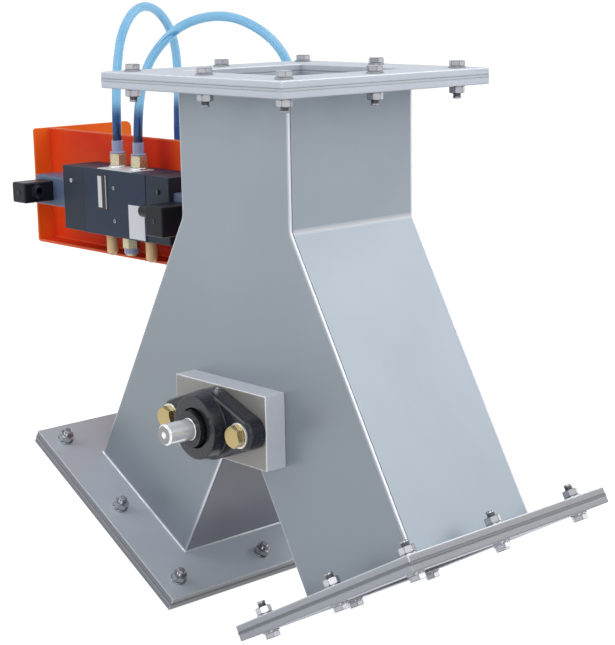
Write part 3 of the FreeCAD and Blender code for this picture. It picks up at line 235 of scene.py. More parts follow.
class Effects:
    """Shader node groups that the finishes share, each built once."""

    GRAIN_NOISE = {"Detail": 3.0, "Roughness": 0.6}
    PATCH_NOISE = {"Detail": 4.0, "Roughness": 0.55, "Distortion": 0.4}
    PATCH_SPAN = (0.36, 0.66)   # noise at which a patch starts, and at which it is full
    EDGE_NOISE = {"Scale": 120.0, "Detail": 2.0}
    EDGE_LOSS = 0.3             # share of an edge that the noise can take away
    EDGE_SAMPLES = 4
    # Start and gain of the ramps that tell directions apart
    UPWARD = (-0.125, 4.0)
    CORNER = (0.3, 10.0)
    FLAT = (0.9, 12.0)
    ENDS = (0.75, 12.0)
    ROUNDING = (0.06, 8.0)
    BEND = (0.08, 8.0)          # for a leg at right angles, and scaled to the legs' slope

    @staticmethod
    @cache
    def grain() -> NodeTree:
        """Builds fine noise, stretched along the brushing.

        Returns:
            The group.
        """
        sizes = {"Scale": 400.0, "Stretch": Grain.EVEN.value}
        maker, source, sink = new_group("grain", Tree.SHADER, sizes, ("Value",))
        inputs = {0: maker.place(), 1: source["Stretch"]}
        scaled = maker.add("ShaderNodeVectorMath", inputs, operation="MULTIPLY")
        noise = maker.noise(scaled.outputs[0], {"Scale": source["Scale"], **Effects.GRAIN_NOISE})
        return maker.put_out(sink, {"Value": noise})

    @staticmethod
    @cache
    def patches() -> NodeTree:
        """Builds broad soft patches, for handling marks and uneven colour.

        Returns:
            The group.
        """
        maker, source, sink = new_group("patches", Tree.SHADER, {"Scale": 9.0, "Amount": 0.5}, ("Mask",))
        noise = maker.noise(maker.place(), {"Scale": source["Scale"], **Effects.PATCH_NOISE})
        spread = maker.remap(noise, Effects.PATCH_SPAN)
        return maker.put_out(sink, {"Mask": maker.math("MULTIPLY", spread, source["Amount"], clamp=True)})

    @staticmethod
    @cache
    def edges() -> NodeTree:
        """Builds masks of edges, broken up by noise, for painted highlights and shade on edges.

        Returns:
            The group: all edges, those that look up, those that look down, and upright corners.
        """
        maker, source, sink = new_group("edges", Tree.SHADER, {"Width": 0.001, "Strength": 1.0, "Gain": 6.0},
                                        ("Mask", "Upper", "Lower", "Corner"))
        bevel = maker.add("ShaderNodeBevel", {"Radius": source["Width"]}, samples=Effects.EDGE_SAMPLES)
        soft = bevel.outputs["Normal"]
        true = maker.add("ShaderNodeNewGeometry").outputs["Normal"]
        dot = maker.add("ShaderNodeVectorMath", {0: soft, 1: true}, operation="DOT_PRODUCT").outputs["Value"]
        raised = maker.math("MULTIPLY", maker.math("SUBTRACT", 1.0, dot), source["Gain"], clamp=True)
        loss = maker.math("MULTIPLY", maker.noise(maker.place(), Effects.EDGE_NOISE), Effects.EDGE_LOSS)
        kept = maker.math("SUBTRACT", raised, loss, clamp=True)
        mask = maker.math("MULTIPLY", kept, source["Strength"], clamp=True)
        parts = maker.split(soft)
        upper = maker.math("MULTIPLY", mask, maker.ramp(parts["Z"], *Effects.UPWARD))
        across = maker.math("ABSOLUTE", maker.math("MULTIPLY", parts["X"], parts["Y"]))
        corner = maker.math("MULTIPLY", mask, maker.ramp(across, *Effects.CORNER))
        lower = maker.math("SUBTRACT", mask, upper)
        return maker.put_out(sink, {"Mask": mask, "Upper": upper, "Lower": lower, "Corner": corner})

    @staticmethod
    @cache
    def facing() -> NodeTree:
        """Builds masks of directions.

        Returns:
            The group: faces to the front and rear, faces to the ends, roundings along a plate and bends, for
                painted shade and highlights.
        """
        maker, source, sink = new_group("facing", Tree.SHADER, {"Strength": 1.0},
                                        ("Flat", "Ends", "Rounding", "Bend"))
        mounts = frame["record"]["mounts"]
        slope = max(abs(mount["axis"][0]) for mount in mounts if mount["name"].endswith("_outlet"))
        parts = maker.split(maker.add("ShaderNodeTexCoord").outputs["Normal"])
        lean = maker.math("ABSOLUTE", parts["Y"])
        both = maker.math("MULTIPLY", lean, maker.math("SUBTRACT", 1.0, lean))
        rise = maker.math("MULTIPLY", parts["Z"], maker.math("SUBTRACT", slope, parts["Z"]))
        start, gain = Effects.BEND
        masks = {"Flat": maker.ramp(lean, *Effects.FLAT),
                 "Ends": maker.ramp(maker.math("ABSOLUTE", parts["X"]), *Effects.ENDS),
                 "Rounding": maker.ramp(both, *Effects.ROUNDING),
                 "Bend": maker.ramp(rise, start * slope ** 2, gain / slope ** 2)}
        scaled = {label: maker.math("MULTIPLY", mask, source["Strength"]) for label, mask in masks.items()}
        return maker.put_out(sink, scaled)


# Finishes


@dataclass(frozen=True)
class Finish:
    """One surface finish, made as a procedural material on first use. Its lengths are in metres."""

    GRAIN_SPAN: ClassVar[Pair] = (0.3, 0.7)
    LEAST_ROUGHNESS: ClassVar[float] = 0.02

    name: str
    slot: str
    colour: Colour
    second: Colour                      # in broad patches
    roughness: float
    metallic: float = 0.0
    spread: float = 0.08                # of the roughness, by the grain
    grain: Grain = Grain.EVEN
    scale: float = 900.0                # of the grain
    bump: float = 0.05
    depth: float = 0.0002
    patch_scale: float = 9.0
    patches: float = 0.5
    edge: Optional[Colour] = None       # painted highlight on all edges, or only on those that look up where shade under edges is given; painted shade where darker
    edge_width: float = 0.001
    edge_strength: float = 0.6
    edge_gain: float = 6.0
    under: Optional[Colour] = None      # painted shade on edges that look down
    corner: Optional[Colour] = None     # painted highlight on upright corners
    highlight_metallic: float = 0.0                 # metallic where highlights are painted on edges and bends
    coat: float = 0.0
    coat_roughness: float = 0.1
    transmission: float = 0.0
    specular: float = 0.5
    ior: float = 1.5
    rounding_highlight: Optional[Colour] = None  # painted highlight on the roundings along a plate
    bend_highlight: Optional[Colour] = None       # painted highlight on the bends of a sheet
    flat: Optional[Colour] = None       # painted shade on faces to the front and rear
    ends: Optional[Colour] = None       # painted shade on faces to the left and right
    low: Optional[Colour] = None        # painted shade, or painted light where lighter: full at the first end of low_span, gone at the second
    low_span: Pair = (0.0, 0.0)
    low_axis: Axis = Axis.Z

    @cache
    def material(self) -> bpy.types.Material:
        """Builds the node tree round one Principled shader.

        Returns:
            The material, which is the same one at every call.
        """
        material, maker, shader = new_material(self.name)
        colour, bright = self._colour(maker)
        texture = maker.effect(Effects.grain(), {"Scale": self.scale, "Stretch": self.grain.value})
        grain = texture.outputs["Value"]
        rough = (max(self.LEAST_ROUGHNESS, self.roughness - self.spread), self.roughness + self.spread)
        bump = maker.add("ShaderNodeBump", {"Strength": self.bump, "Distance": self.depth, "Height": grain})
        maker.feed(shader, {
            "Base Color": colour, "Roughness": maker.remap(grain, self.GRAIN_SPAN, rough),
            "Normal": bump.outputs["Normal"], "Metallic": self._shine(maker, bright),
            "Coat Weight": self.coat, "Coat Roughness": self.coat_roughness,
            "Transmission Weight": self.transmission, "Specular IOR Level": self.specular, "IOR": self.ior})
        return material

    def _colour(self, maker: NodeMaker) -> tuple[Socket, list[Socket]]:
        """Lays the colours over each other by their masks: random patches, then painted shade, light and
        highlights.

        Args:
            maker: The material's node maker.

        Returns:
            The colour, and the masks of the painted highlights.
        """
        patches = maker.effect(Effects.patches(), {"Scale": self.patch_scale, "Amount": self.patches})
        colour = maker.mix(patches.outputs["Mask"], (*self.colour, 1.0), self.second)
        # Painted shade, or painted light where lighter, along one axis
        if self.low:
            along = maker.split(maker.place())[self.low_axis.value]
            deep = maker.remap(along, self.low_span[::-1], interpolation_type="SMOOTHSTEP")
            colour = maker.mix(deep, colour, self.low)
        sizes = {"Width": self.edge_width, "Strength": self.edge_strength, "Gain": self.edge_gain}
        values = {Effects.facing: None, Effects.edges: sizes}
        # Painted shade on faces and under edges, painted highlight or shade on edges, painted highlights on
        # corners, roundings and bends
        layers = ((Effects.facing, "Flat", self.flat, False),
                  (Effects.facing, "Ends", self.ends, False),
                  (Effects.edges, "Upper" if self.under else "Mask", self.edge, True),
                  (Effects.edges, "Lower", self.under, False),
                  (Effects.edges, "Corner", self.corner, True),
                  (Effects.facing, "Rounding", self.rounding_highlight, True),
                  (Effects.facing, "Bend", self.bend_highlight, True))
        placed, bright = {}, []
        for effect, label, shade, shines in layers:
            if shade:
                if effect not in placed:
                    placed[effect] = maker.effect(effect(), values[effect]).outputs
                mask = placed[effect][label]
                colour = maker.mix(mask, colour, shade)
                bright += [mask] if shines else []
        return colour, bright

    def _shine(self, maker: NodeMaker, bright: list[Socket]) -> object:
        """Metallic of the shader.

        Args:
            maker: The material's node maker.
            bright: Masks of the painted highlights.

        Returns:
            A plain number, or a socket that makes the painted highlights more metallic.
        """
        if not self.highlight_metallic:
            return self.metallic
        brightest = reduce(partial(maker.math, "MAXIMUM"), bright)
        return maker.remap(brightest, target=(self.metallic, self.highlight_metallic))


# Painted highlights on the edges and along the roundings, and painted shade towards the bottom
FRONT_SHEET = Finish(
    "satin_front_sheet", "sheet_steel", (0.32, 0.37, 0.42), (0.37, 0.42, 0.47), 0.40, metallic=0.35,
    spread=0.05, grain=Grain.BRUSHED_UPRIGHT, scale=700, bump=0.03, patches=0.7, patch_scale=5,
    edge=(0.85, 0.87, 0.90), edge_width=0.0032, edge_strength=0.9, edge_gain=22.0, highlight_metallic=0.9,
    rounding_highlight=(0.64, 0.64, 0.70), low=(0.275, 0.315, 0.36), low_span=(-0.30, -0.14))
# Painted highlight along the bends
SIDE_SHEET = replace(FRONT_SHEET, name="satin_side_sheet", edge=None, rounding_highlight=None, low=None, highlight_metallic=0.0,
                     bend_highlight=(0.47, 0.49, 0.53))
# The same sheet painted darker as shade between the legs, and lighter towards the bottom
SHADED_INNER_SHEET = replace(SIDE_SHEET, name="satin_inner_sheet", colour=(0.20, 0.205, 0.235), bend_highlight=None,
                      second=(0.23, 0.235, 0.265), low=(0.33, 0.34, 0.375), low_span=(-0.50, -0.34))
WELD_SEAM = Finish("weld_seam", "sheet_steel", (0.54, 0.57, 0.61), (0.64, 0.65, 0.67), 0.36, metallic=0.6,
                   spread=0.10, scale=800, bump=0.12, patch_scale=60, patches=0.9)
# Painted highlights on the upper edges and upright corners, painted shade under the edges
FLANGE_STEEL = Finish(
    "satin_plate", "flange_steel", (0.58, 0.63, 0.71), (0.65, 0.70, 0.77), 0.46, metallic=0.20, spread=0.06,
    grain=Grain.BRUSHED_ACROSS, scale=700, bump=0.04, patches=0.7, edge=(0.92, 0.94, 0.97), edge_width=0.0022,
    edge_strength=1.0, under=(0.08, 0.085, 0.10), corner=(0.95, 0.96, 0.98), highlight_metallic=1.0, specular=0.2)
# Darker lower down: painted shade in the joints of the outlet flanges
GASKET_RUBBER = Finish("gasket_rubber", "gasket", (0.60, 0.65, 0.71), (0.66, 0.71, 0.77), 0.7, bump=0.2,
                       low=(0.26, 0.27, 0.29), low_span=(-0.34, -0.10))
# Dark edges: painted shade outlining each facet
ZINC = Finish("bright_zinc", "zinc_bolts", (0.47, 0.48, 0.51), (0.58, 0.59, 0.61), 0.20, metallic=0.75,
              scale=1400, patch_scale=60, edge=(0.05, 0.055, 0.07), edge_width=0.0014, edge_strength=0.9,
              edge_gain=12.0)
# Painted highlights on the edges, painted shade on the faces to the front and rear
MACHINED = Finish(
    "machined_pad", "machined_steel", (0.82, 0.84, 0.90), (0.90, 0.92, 0.97), 0.30, metallic=0.22,
    spread=0.03, grain=Grain.BRUSHED_ACROSS, scale=1100, bump=0.012, patch_scale=22, edge=(1.0, 1.0, 1.0),
    edge_width=0.0026, edge_strength=0.9, edge_gain=10.0, flat=(0.31, 0.305, 0.295))
# Painted highlights on the edges
LEVER_STEEL = Finish("satin_lever", "machined_steel", (0.42, 0.43, 0.46), (0.48, 0.49, 0.52), 0.32,
                     metallic=0.55, grain=Grain.BRUSHED_UPRIGHT, bump=0.04, patch_scale=22,
                     edge=(0.85, 0.86, 0.88), edge_width=0.0012)
# Painted highlights on the edges
BLACK_CASTING = Finish(
    "glossy_black_iron", "black_casting", (0.018, 0.020, 0.028), (0.034, 0.037, 0.050), 0.25, scale=520,
    bump=0.16, depth=0.0005, patch_scale=40, edge=(0.10, 0.10, 0.11), edge_strength=0.5, coat=0.22,
    coat_roughness=0.08, specular=0.26)
# Painted highlights on the edges
BLACK_OXIDE = Finish("black_oxide", "bearing_steel", (0.025, 0.026, 0.034), (0.045, 0.048, 0.06), 0.25,
                     metallic=0.6, spread=0.06, patch_scale=40, edge=(0.22, 0.22, 0.25), edge_width=0.0007)
# Painted highlights on the edges, painted shade on the faces to the front and rear
BEARING_STEEL = Finish("ground_steel", "bearing_steel", (0.80, 0.81, 0.83), (0.87, 0.88, 0.90), 0.15,
                       metallic=0.50, spread=0.04, scale=1500, bump=0.04, patch_scale=40,
                       edge=(0.90, 0.90, 0.92), edge_width=0.0006, flat=(0.27, 0.275, 0.285))
# Painted highlights on the edges, painted shade on the faces to the front and rear
SHAFT_STEEL = replace(BEARING_STEEL, name="ground_shaft", colour=(0.93, 0.94, 0.96),
                      second=(0.97, 0.97, 0.98), metallic=0.45, edge_strength=0.3, flat=(0.28, 0.28, 0.29))
# Painted highlights on the edges
YELLOW_ZINC = Finish("passivated_zinc", "yellow_zinc", (0.48, 0.33, 0.12), (0.42, 0.36, 0.18), 0.27,
                     metallic=0.75, scale=1200, patch_scale=110, patches=1.0, edge=(0.86, 0.84, 0.70),
                     edge_width=0.0008)
# Painted highlights on the edges
SILVER_ZINC = Finish("silver_zinc", "yellow_zinc", (0.62, 0.63, 0.60), (0.70, 0.70, 0.66), 0.24, metallic=0.8,
                     spread=0.07, scale=1200, patch_scale=90, edge=(0.90, 0.90, 0.86), edge_width=0.0006)
FELT = Finish("grey_felt", "felt", (0.24, 0.23, 0.21), (0.30, 0.29, 0.27), 0.95, scale=1600, bump=0.6,
              depth=0.0006)
# Painted highlights on the edges
BLADE_STEEL = Finish("worn_blade", "blade_steel", (0.44, 0.45, 0.47), (0.36, 0.36, 0.37), 0.42, metallic=0.6,
                     spread=0.1, grain=Grain.BRUSHED_UPRIGHT, scale=500, bump=0.06, patches=0.9,
                     edge=(0.75, 0.75, 0.77))
TIP_RUBBER = Finish("matt_black_rubber", "tip_rubber", (0.035, 0.035, 0.036), (0.06, 0.06, 0.06), 0.75,
                    bump=0.15)
# Painted highlight along the edges, and painted light towards the right, near the neck
ORANGE_PAINT = Finish(
    "orange_red_paint", "orange_paint", (0.78, 0.026, 0.010), (0.95, 0.090, 0.013), 0.38, spread=0.04,
    scale=260, bump=0.03, depth=0.0003, patch_scale=6, patches=0.9, edge=(1.0, 0.40, 0.20), edge_width=0.0030,
    edge_strength=0.9, edge_gain=14.0, specular=0.08, low=(1.0, 0.20, 0.02), low_axis=Axis.X,
    low_span=(-0.215, -0.28))
# The same orange paint, painted lighter and more orange as light bouncing onto the end wall, with painted
# highlights on its edges
ORANGE_END_LIT = Finish(
    "orange_end_paint_lit", "orange_paint", (1.0, 0.160, 0.020), (1.0, 0.220, 0.028), 0.38, spread=0.04,
    scale=260, bump=0.03, depth=0.0003, patches=0.9, edge=(0.94, 0.28, 0.06), edge_width=0.0030,
    edge_strength=0.8, specular=0.08)
ANODISED = Finish("anodised_barrel", "barrel", (0.58, 0.59, 0.61), (0.63, 0.64, 0.66), 0.34, metallic=0.8,
                  spread=0.06, grain=Grain.BRUSHED_ACROSS, bump=0.04)
# Painted highlights on the edges
CAP_PAINT = Finish("cap_paint", "caps", (0.20, 0.21, 0.23), (0.24, 0.25, 0.27), 0.42, metallic=0.2, scale=420,
                   bump=0.12, depth=0.0004, edge=(0.42, 0.43, 0.45), edge_width=0.0012)
# Painted highlights on the edges
PLATED = Finish("zinc_plate", "plated_steel", (0.48, 0.49, 0.49), (0.56, 0.56, 0.54), 0.34, metallic=0.8,
                bump=0.06, patch_scale=30, edge=(0.78, 0.78, 0.78), edge_width=0.0009)
# Painted highlights on the edges
VALVE_PAINT = Finish(
    "charcoal_valve", "valve_paint", (0.024, 0.038, 0.074), (0.032, 0.046, 0.082), 0.45, spread=0.06,
    scale=620, bump=0.10, depth=0.0003, patch_scale=30, edge=(0.16, 0.18, 0.23), edge_strength=0.7,
    specular=0.18)
# Painted highlights on the edges
PILOT_PAINT = Finish(
    "graphite_caps", "valve_paint", (0.026, 0.036, 0.056), (0.036, 0.046, 0.066), 0.50, spread=0.06,
    scale=560, bump=0.14, depth=0.0003, patch_scale=26, edge=(0.13, 0.15, 0.19), specular=0.18)
# Painted highlights on the edges
COIL_PLASTIC = Finish(
    "slate_coil", "coil_plastic", (0.110, 0.155, 0.260), (0.130, 0.175, 0.280), 0.45, scale=700, bump=0.10,
    depth=0.0003, edge=(0.22, 0.24, 0.30), edge_width=0.0012, edge_strength=0.5, specular=0.35)
# Painted highlights on the edges
PLUG_PLASTIC = Finish(
    "plug_plastic", "coil_plastic", (0.010, 0.012, 0.019), (0.016, 0.018, 0.027), 0.36, scale=700, bump=0.10,
    depth=0.0003, edge=(0.08, 0.09, 0.12), edge_width=0.0012, specular=0.18)
DARK_RECESS = Finish("dark_recess", "coil_plastic", (0.010, 0.010, 0.012), (0.016, 0.016, 0.018), 0.6)
BLANK_PLATE = Finish("blank_plate", "valve_paint", (0.68, 0.71, 0.77), (0.74, 0.77, 0.82), 0.44,
                     metallic=0.20, spread=0.05, grain=Grain.BRUSHED_ACROSS, bump=0.03)
BUTTON_STEEL = Finish("button_steel", "button", (0.50, 0.52, 0.56), (0.56, 0.58, 0.62), 0.35, metallic=0.6,
                      scale=1500)
BUTTON_BLACK = Finish("button_black", "button", (0.020, 0.022, 0.030), (0.030, 0.032, 0.040), 0.45,
                      scale=1500)
# Painted highlights on the edges
BRASS = Finish("bright_brass", "brass", (0.57, 0.51, 0.34), (0.66, 0.61, 0.46), 0.28, metallic=0.70,
               scale=1300, patch_scale=70, edge=(0.88, 0.80, 0.58), edge_width=0.0007)
NICKEL = Finish("nickel_washer", "brass", (0.88, 0.88, 0.88), (0.94, 0.94, 0.93), 0.22, metallic=0.85,
                spread=0.06, scale=1300)
COLLAR_BLUE = Finish("collar_blue", "collar_plastic", (0.26, 0.30, 0.50), (0.34, 0.38, 0.58), 0.22,
                     spread=0.04, scale=500, coat=0.3)
BRONZE = Finish("sintered_bronze", "bronze", (0.80, 0.54, 0.28), (0.86, 0.62, 0.37), 0.55, metallic=0.25,
                spread=0.12, scale=1500, bump=0.7, depth=0.0006, patch_scale=300)
# Deep blue towards the bottom: painted shade on the lower parts of the hoses
TUBE_BLUE = Finish(
    "tube_blue", "tube", (0.25, 0.57, 0.84), (0.33, 0.65, 0.88), 0.14, spread=0.03, scale=200, bump=0.01,
    patch_scale=30, coat=0.5, coat_roughness=0.06, transmission=0.7, ior=1.22, low=(0.014, 0.085, 0.27),
    low_span=(-0.064, -0.042))


# Meshes


def turned(origin: Sequence[float], axis: Sequence[float]) -> Matrix:
    """Returns the place at an origin in millimetres with its Z along an axis."""
    turn = Vector((0, 0, 1)).rotation_difference(Vector(axis)).to_matrix().to_4x4()
    return Matrix.Translation(Vector(origin)) @ turn


def lift(height: float, place: Matrix = UP) -> Matrix:
    """Returns a place moved along its own Z."""
    return place @ Matrix.Translation((0, 0, height))


def mesh_from(bm: bmesh.types.BMesh, name: str) -> bpy.types.Mesh:
    """Turns a working mesh into a mesh, and frees it.

    Args:
        bm: The working mesh.
        name: Name of the new mesh.

    Returns:
        The new mesh.
    """
    mesh = bpy.data.meshes.new(name)
    bm.to_mesh(mesh)
    bm.free()
    return mesh


class MeshMaker:
    """Collects closed shapes in one mesh. Sizes are in millimetres, and each shape stands on Z."""

    SIDES = 32
    BAR_SIDES = 20              # of shanks and threads
    HEX_SIDES = 36
    HEX_CHAMFER = math.radians(30)
    HEX_TURNED = 0.97           # share of the half width at which the turned corners would start
    HEX_FACE = 0.95             # share of it that the flat face keeps
    BORE_CHAMFER = 0.12         # share of the bore's radius
    THREAD_DEPTH = 0.5          # share of the pitch
    THREAD_POINT = 0.7          # share of the pitch
    BLOCK_FACETS = 3

    def __init__(self) -> None:
        """Starts with nothing."""
        self.bm = bmesh.new()

    @staticmethod
    def loop(radii: Sequence[float], heights: Sequence[float]) -> list[Triple]:
        """Returns evenly turned points round Z, from the radius and height of each."""
        turns = [2 * math.pi * i / len(radii) for i in range(len(radii))]
        return [(r * math.cos(a), r * math.sin(a), z) for a, r, z in zip(turns, radii, heights)]

    def rings(self, loops: Sequence[Sequence[Triple]], place: Matrix, closed: bool = False) -> None:
        """Skins a row of loops of equal length.

        Args:
            loops: Points of each loop.
            place: Where the shape goes.
            closed: Whether the last loop joins the first, as on a ring, or both are capped.
        """
        made = [[self.bm.verts.new(place @ Vector(point)) for point in loop] for loop in loops]
        pairs = list(zip(made, made[1:])) + ([(made[-1], made[0])] if closed else [])
        for low, high in pairs:
            for i in range(len(low)):
                j = (i + 1) % len(low)
                self.bm.faces.new((low[i], low[j], high[j], high[i]))
        if not closed:
            self.bm.faces.new(list(reversed(made[0])))
            self.bm.faces.new(made[-1])

    def lathe(self, profile: Sequence[Pair], place: Matrix, sides: int = SIDES, closed: bool = False) -> None:
        """Turns a profile of (radius, height), from the bottom up or round a ring's section, about Z."""
        self.rings([self.loop([r] * sides, [z] * sides) for r, z in profile], place, closed)

    def hexagon(self, flats: float, height: float, place: Matrix, bore: float = 0.0,
                both: bool = False) -> None:
        """Hexagon head or nut with turned corners.

        Args:
            flats: Width over flats.
            height: Height.
            place: Where its lower face goes.
            bore: Radius of a nut's hole.
            both: Whether the lower corners are turned too.
        """
        half, sides, sixth = flats / 2, self.HEX_SIDES, math.pi / 3
        turns = [2 * math.pi * i / sides for i in range(sides)]
        reach = [half / math.cos((a + sixth / 2) % sixth - sixth / 2) for a in turns]
        drop = [(r - half * self.HEX_TURNED) * math.tan(self.HEX_CHAMFER) for r in reach]
        level, flat = [0.0] * sides, [half * self.HEX_FACE] * sides
        loops = [self.loop(flat, level)] if both else []
        loops += [self.loop(reach, drop if both else level), self.loop(reach, [height - d for d in drop]),
                  self.loop(flat, [height] * sides)]
        if bore:
            chamfer = bore * self.BORE_CHAMFER
            wide = bore + chamfer
            inside = ((wide, height), (bore, height - chamfer), (bore, chamfer), (wide, 0.0))
            loops += [self.loop([r] * sides, [z] * sides) for r, z in inside]
        self.rings(loops, place, closed=bool(bore))

    def thread(self, radius: float, pitch: float, length: float, place: Matrix) -> None:
        """Threaded bar with a turned end.

        Args:
            radius: Outer radius.
            pitch: Pitch of the grooves.
            length: Length.
            place: Where it starts.
        """
        root, half = radius - pitch * self.THREAD_DEPTH, pitch / 2
        profile = [(radius, 0.0)]
        for i in range(max(1, int(length / pitch) - 1)):
            profile += [(root, i * pitch + half), (radius, (i + 1) * pitch)]
        profile += [(radius, length - half), (radius - pitch * self.THREAD_POINT, length)]
        self.lathe(profile, place, self.BAR_SIDES)

    def block(self, low: Triple, high: Triple, round_off: float) -> None:
        """Block with rounded edges.

        Args:
            low: Its lowest corner.
            high: Its highest corner.
            round_off: Radius of the edges.
        """
        scratch = bmesh.new()
        size = Matrix.Diagonal((*(Vector(high) - Vector(low)), 1))
        middle = Matrix.Translation((Vector(high) + Vector(low)) / 2)
        bmesh.ops.create_cube(scratch, size=1.0, matrix=middle @ size)
        bmesh.ops.bevel(scratch, geom=scratch.edges[:], offset=round_off, segments=self.BLOCK_FACETS,
                        profile=0.5, affect="EDGES", clamp_overlap=True)
        mesh = mesh_from(scratch, "scratch")
        self.bm.from_mesh(mesh)
        bpy.data.meshes.remove(mesh)

    def to_mesh(self, name: str) -> bpy.types.Mesh:
        """Turns what was collected into a mesh in metres, with its faces outwards.

        Args:
            name: Name of the mesh.

        Returns:
            The mesh.
        """
        bmesh.ops.recalc_face_normals(self.bm, faces=self.bm.faces)
        bmesh.ops.scale(self.bm, vec=(MM, MM, MM), verts=self.bm.verts)
        return mesh_from(self.bm, name)


def join_meshes(name: str, meshes: Sequence[bpy.types.Mesh]) -> bpy.types.Mesh:
    """Joins meshes that are already in place.

    Args:
        name: Name of the joined mesh.
        meshes: The meshes.

    Returns:
        The joined mesh.
    """
    bm = bmesh.new()
    for mesh in meshes:
        bm.from_mesh(mesh)
    return mesh_from(bm, name)


# Pieces

SHARP_ANGLE = 32.0      # degrees past which an edge stays sharp


def add_object(name: str, data: bpy.types.ID) -> bpy.types.Object:
    """Puts a mesh, curve, lamp or camera in the scene.

    Args:
        name: Name of the object.
        data: What it shows.

    Returns:
        The object, at the origin.
    """
    made = bpy.data.objects.new(name, data)
    bpy.context.scene.collection.objects.link(made)
    return made


def bake(made: bpy.types.Object) -> bpy.types.Mesh:
    """Makes a plain mesh of an object with its modifiers, and removes them.

    Args:
        made: The object.

    Returns:
        The plain mesh.
    """
    bpy.context.view_layer.update()
    mesh = bpy.data.meshes.new_from_object(made.evaluated_get(bpy.context.evaluated_depsgraph_get()))
    made.modifiers.clear()
    return mesh


def smooth(made: bpy.types.Object, angle: float = SHARP_ANGLE) -> bpy.types.Object:
    """Shades an object smooth, with its flat faces kept flat.

    Args:
        made: The object.
        angle: Degrees past which an edge stays sharp.

    Returns:
        The same object.
    """
    made.data.shade_smooth()
    made.data.set_sharp_from_angle(angle=math.radians(angle))
    made.modifiers.new("flat_faces", "WEIGHTED_NORMAL").keep_sharp = True
    made.data = bake(made)
    return made


def settle(made: bpy.types.Object, finish: Finish, body: str, replaced: Sequence[str] = ()) -> None:
    """Gives a piece its finish, its body and the solids that it stands for.

    Args:
        made: The piece.
        finish: Its finish.
        body: The body that it moves with.
        replaced: Solids that it stands for.
    """
    made.data.materials.clear()
    made.data.materials.append(finish.material())
    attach(made, body)
    if replaced:
        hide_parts(*replaced)
    LOG.info("%s on %s, finish %s", made.name, body, finish.name)


def piece(name: str, maker: MeshMaker, finish: Finish, body: str, replaced: Sequence[str] = ()) -> None:
    """Makes a finished piece of what a mesh maker collected."""
    settle(smooth(add_object(name, maker.to_mesh(name))), finish, body, replaced)


def body_of(node: str) -> str:
    """Returns the name of the body that a solid belongs to."""
    return next(name for name, nodes in frame["record"]["behaviour"]["bodies"].items() if node in nodes)


@dataclass(frozen=True)
class Dress:
    """How one solid is finished."""

    MERGE: ClassVar[float] = 1e-6           # metres
    FLAT_ANGLE: ClassVar[float] = 0.5       # degrees under which faces are one
    BEVEL_ANGLE: ClassVar[float] = 40.0     # degrees past which an edge is broken

    node: str
    finish: Finish
    edge: float = 0.0       # millimetres that the edges are broken by, or nought to keep them
    facets: int = 2         # across an edge

    def apply(self) -> None:
        """Paints the solid as it stands, or sets a copy with broken edges in its place."""
        if self.edge:
            self._break_edges()
            return
        for slot in frame["nodes"][self.node].material_slots:
            slot.material = self.finish.material()
        LOG.info("%s, finish %s", self.node, self.finish.name)

    def _break_edges(self) -> None:
        """Makes a copy of the solid with softly broken edges, which stands for it."""
        bm = bmesh.new()
        bm.from_mesh(frame["nodes"][self.node].data)
        bmesh.ops.remove_doubles(bm, verts=bm.verts, dist=self.MERGE)
        flat = math.radians(self.FLAT_ANGLE)
        bmesh.ops.dissolve_limit(bm, angle_limit=flat, verts=bm.verts, edges=bm.edges)
        made = add_object(self.node + "_dressed", mesh_from(bm, self.node + "_edges"))
        bevel = made.modifiers.new("edge", "BEVEL")
        bevel.width = self.edge * MM
        bevel.segments = self.facets
        bevel.limit_method = "ANGLE"
        bevel.angle_limit = math.radians(self.BEVEL_ANGLE)
        bevel.use_clamp_overlap = False
        made.data = bake(made)
        settle(smooth(made), self.finish, body_of(self.node), (self.node,))


# Repeats made with Geometry Nodes


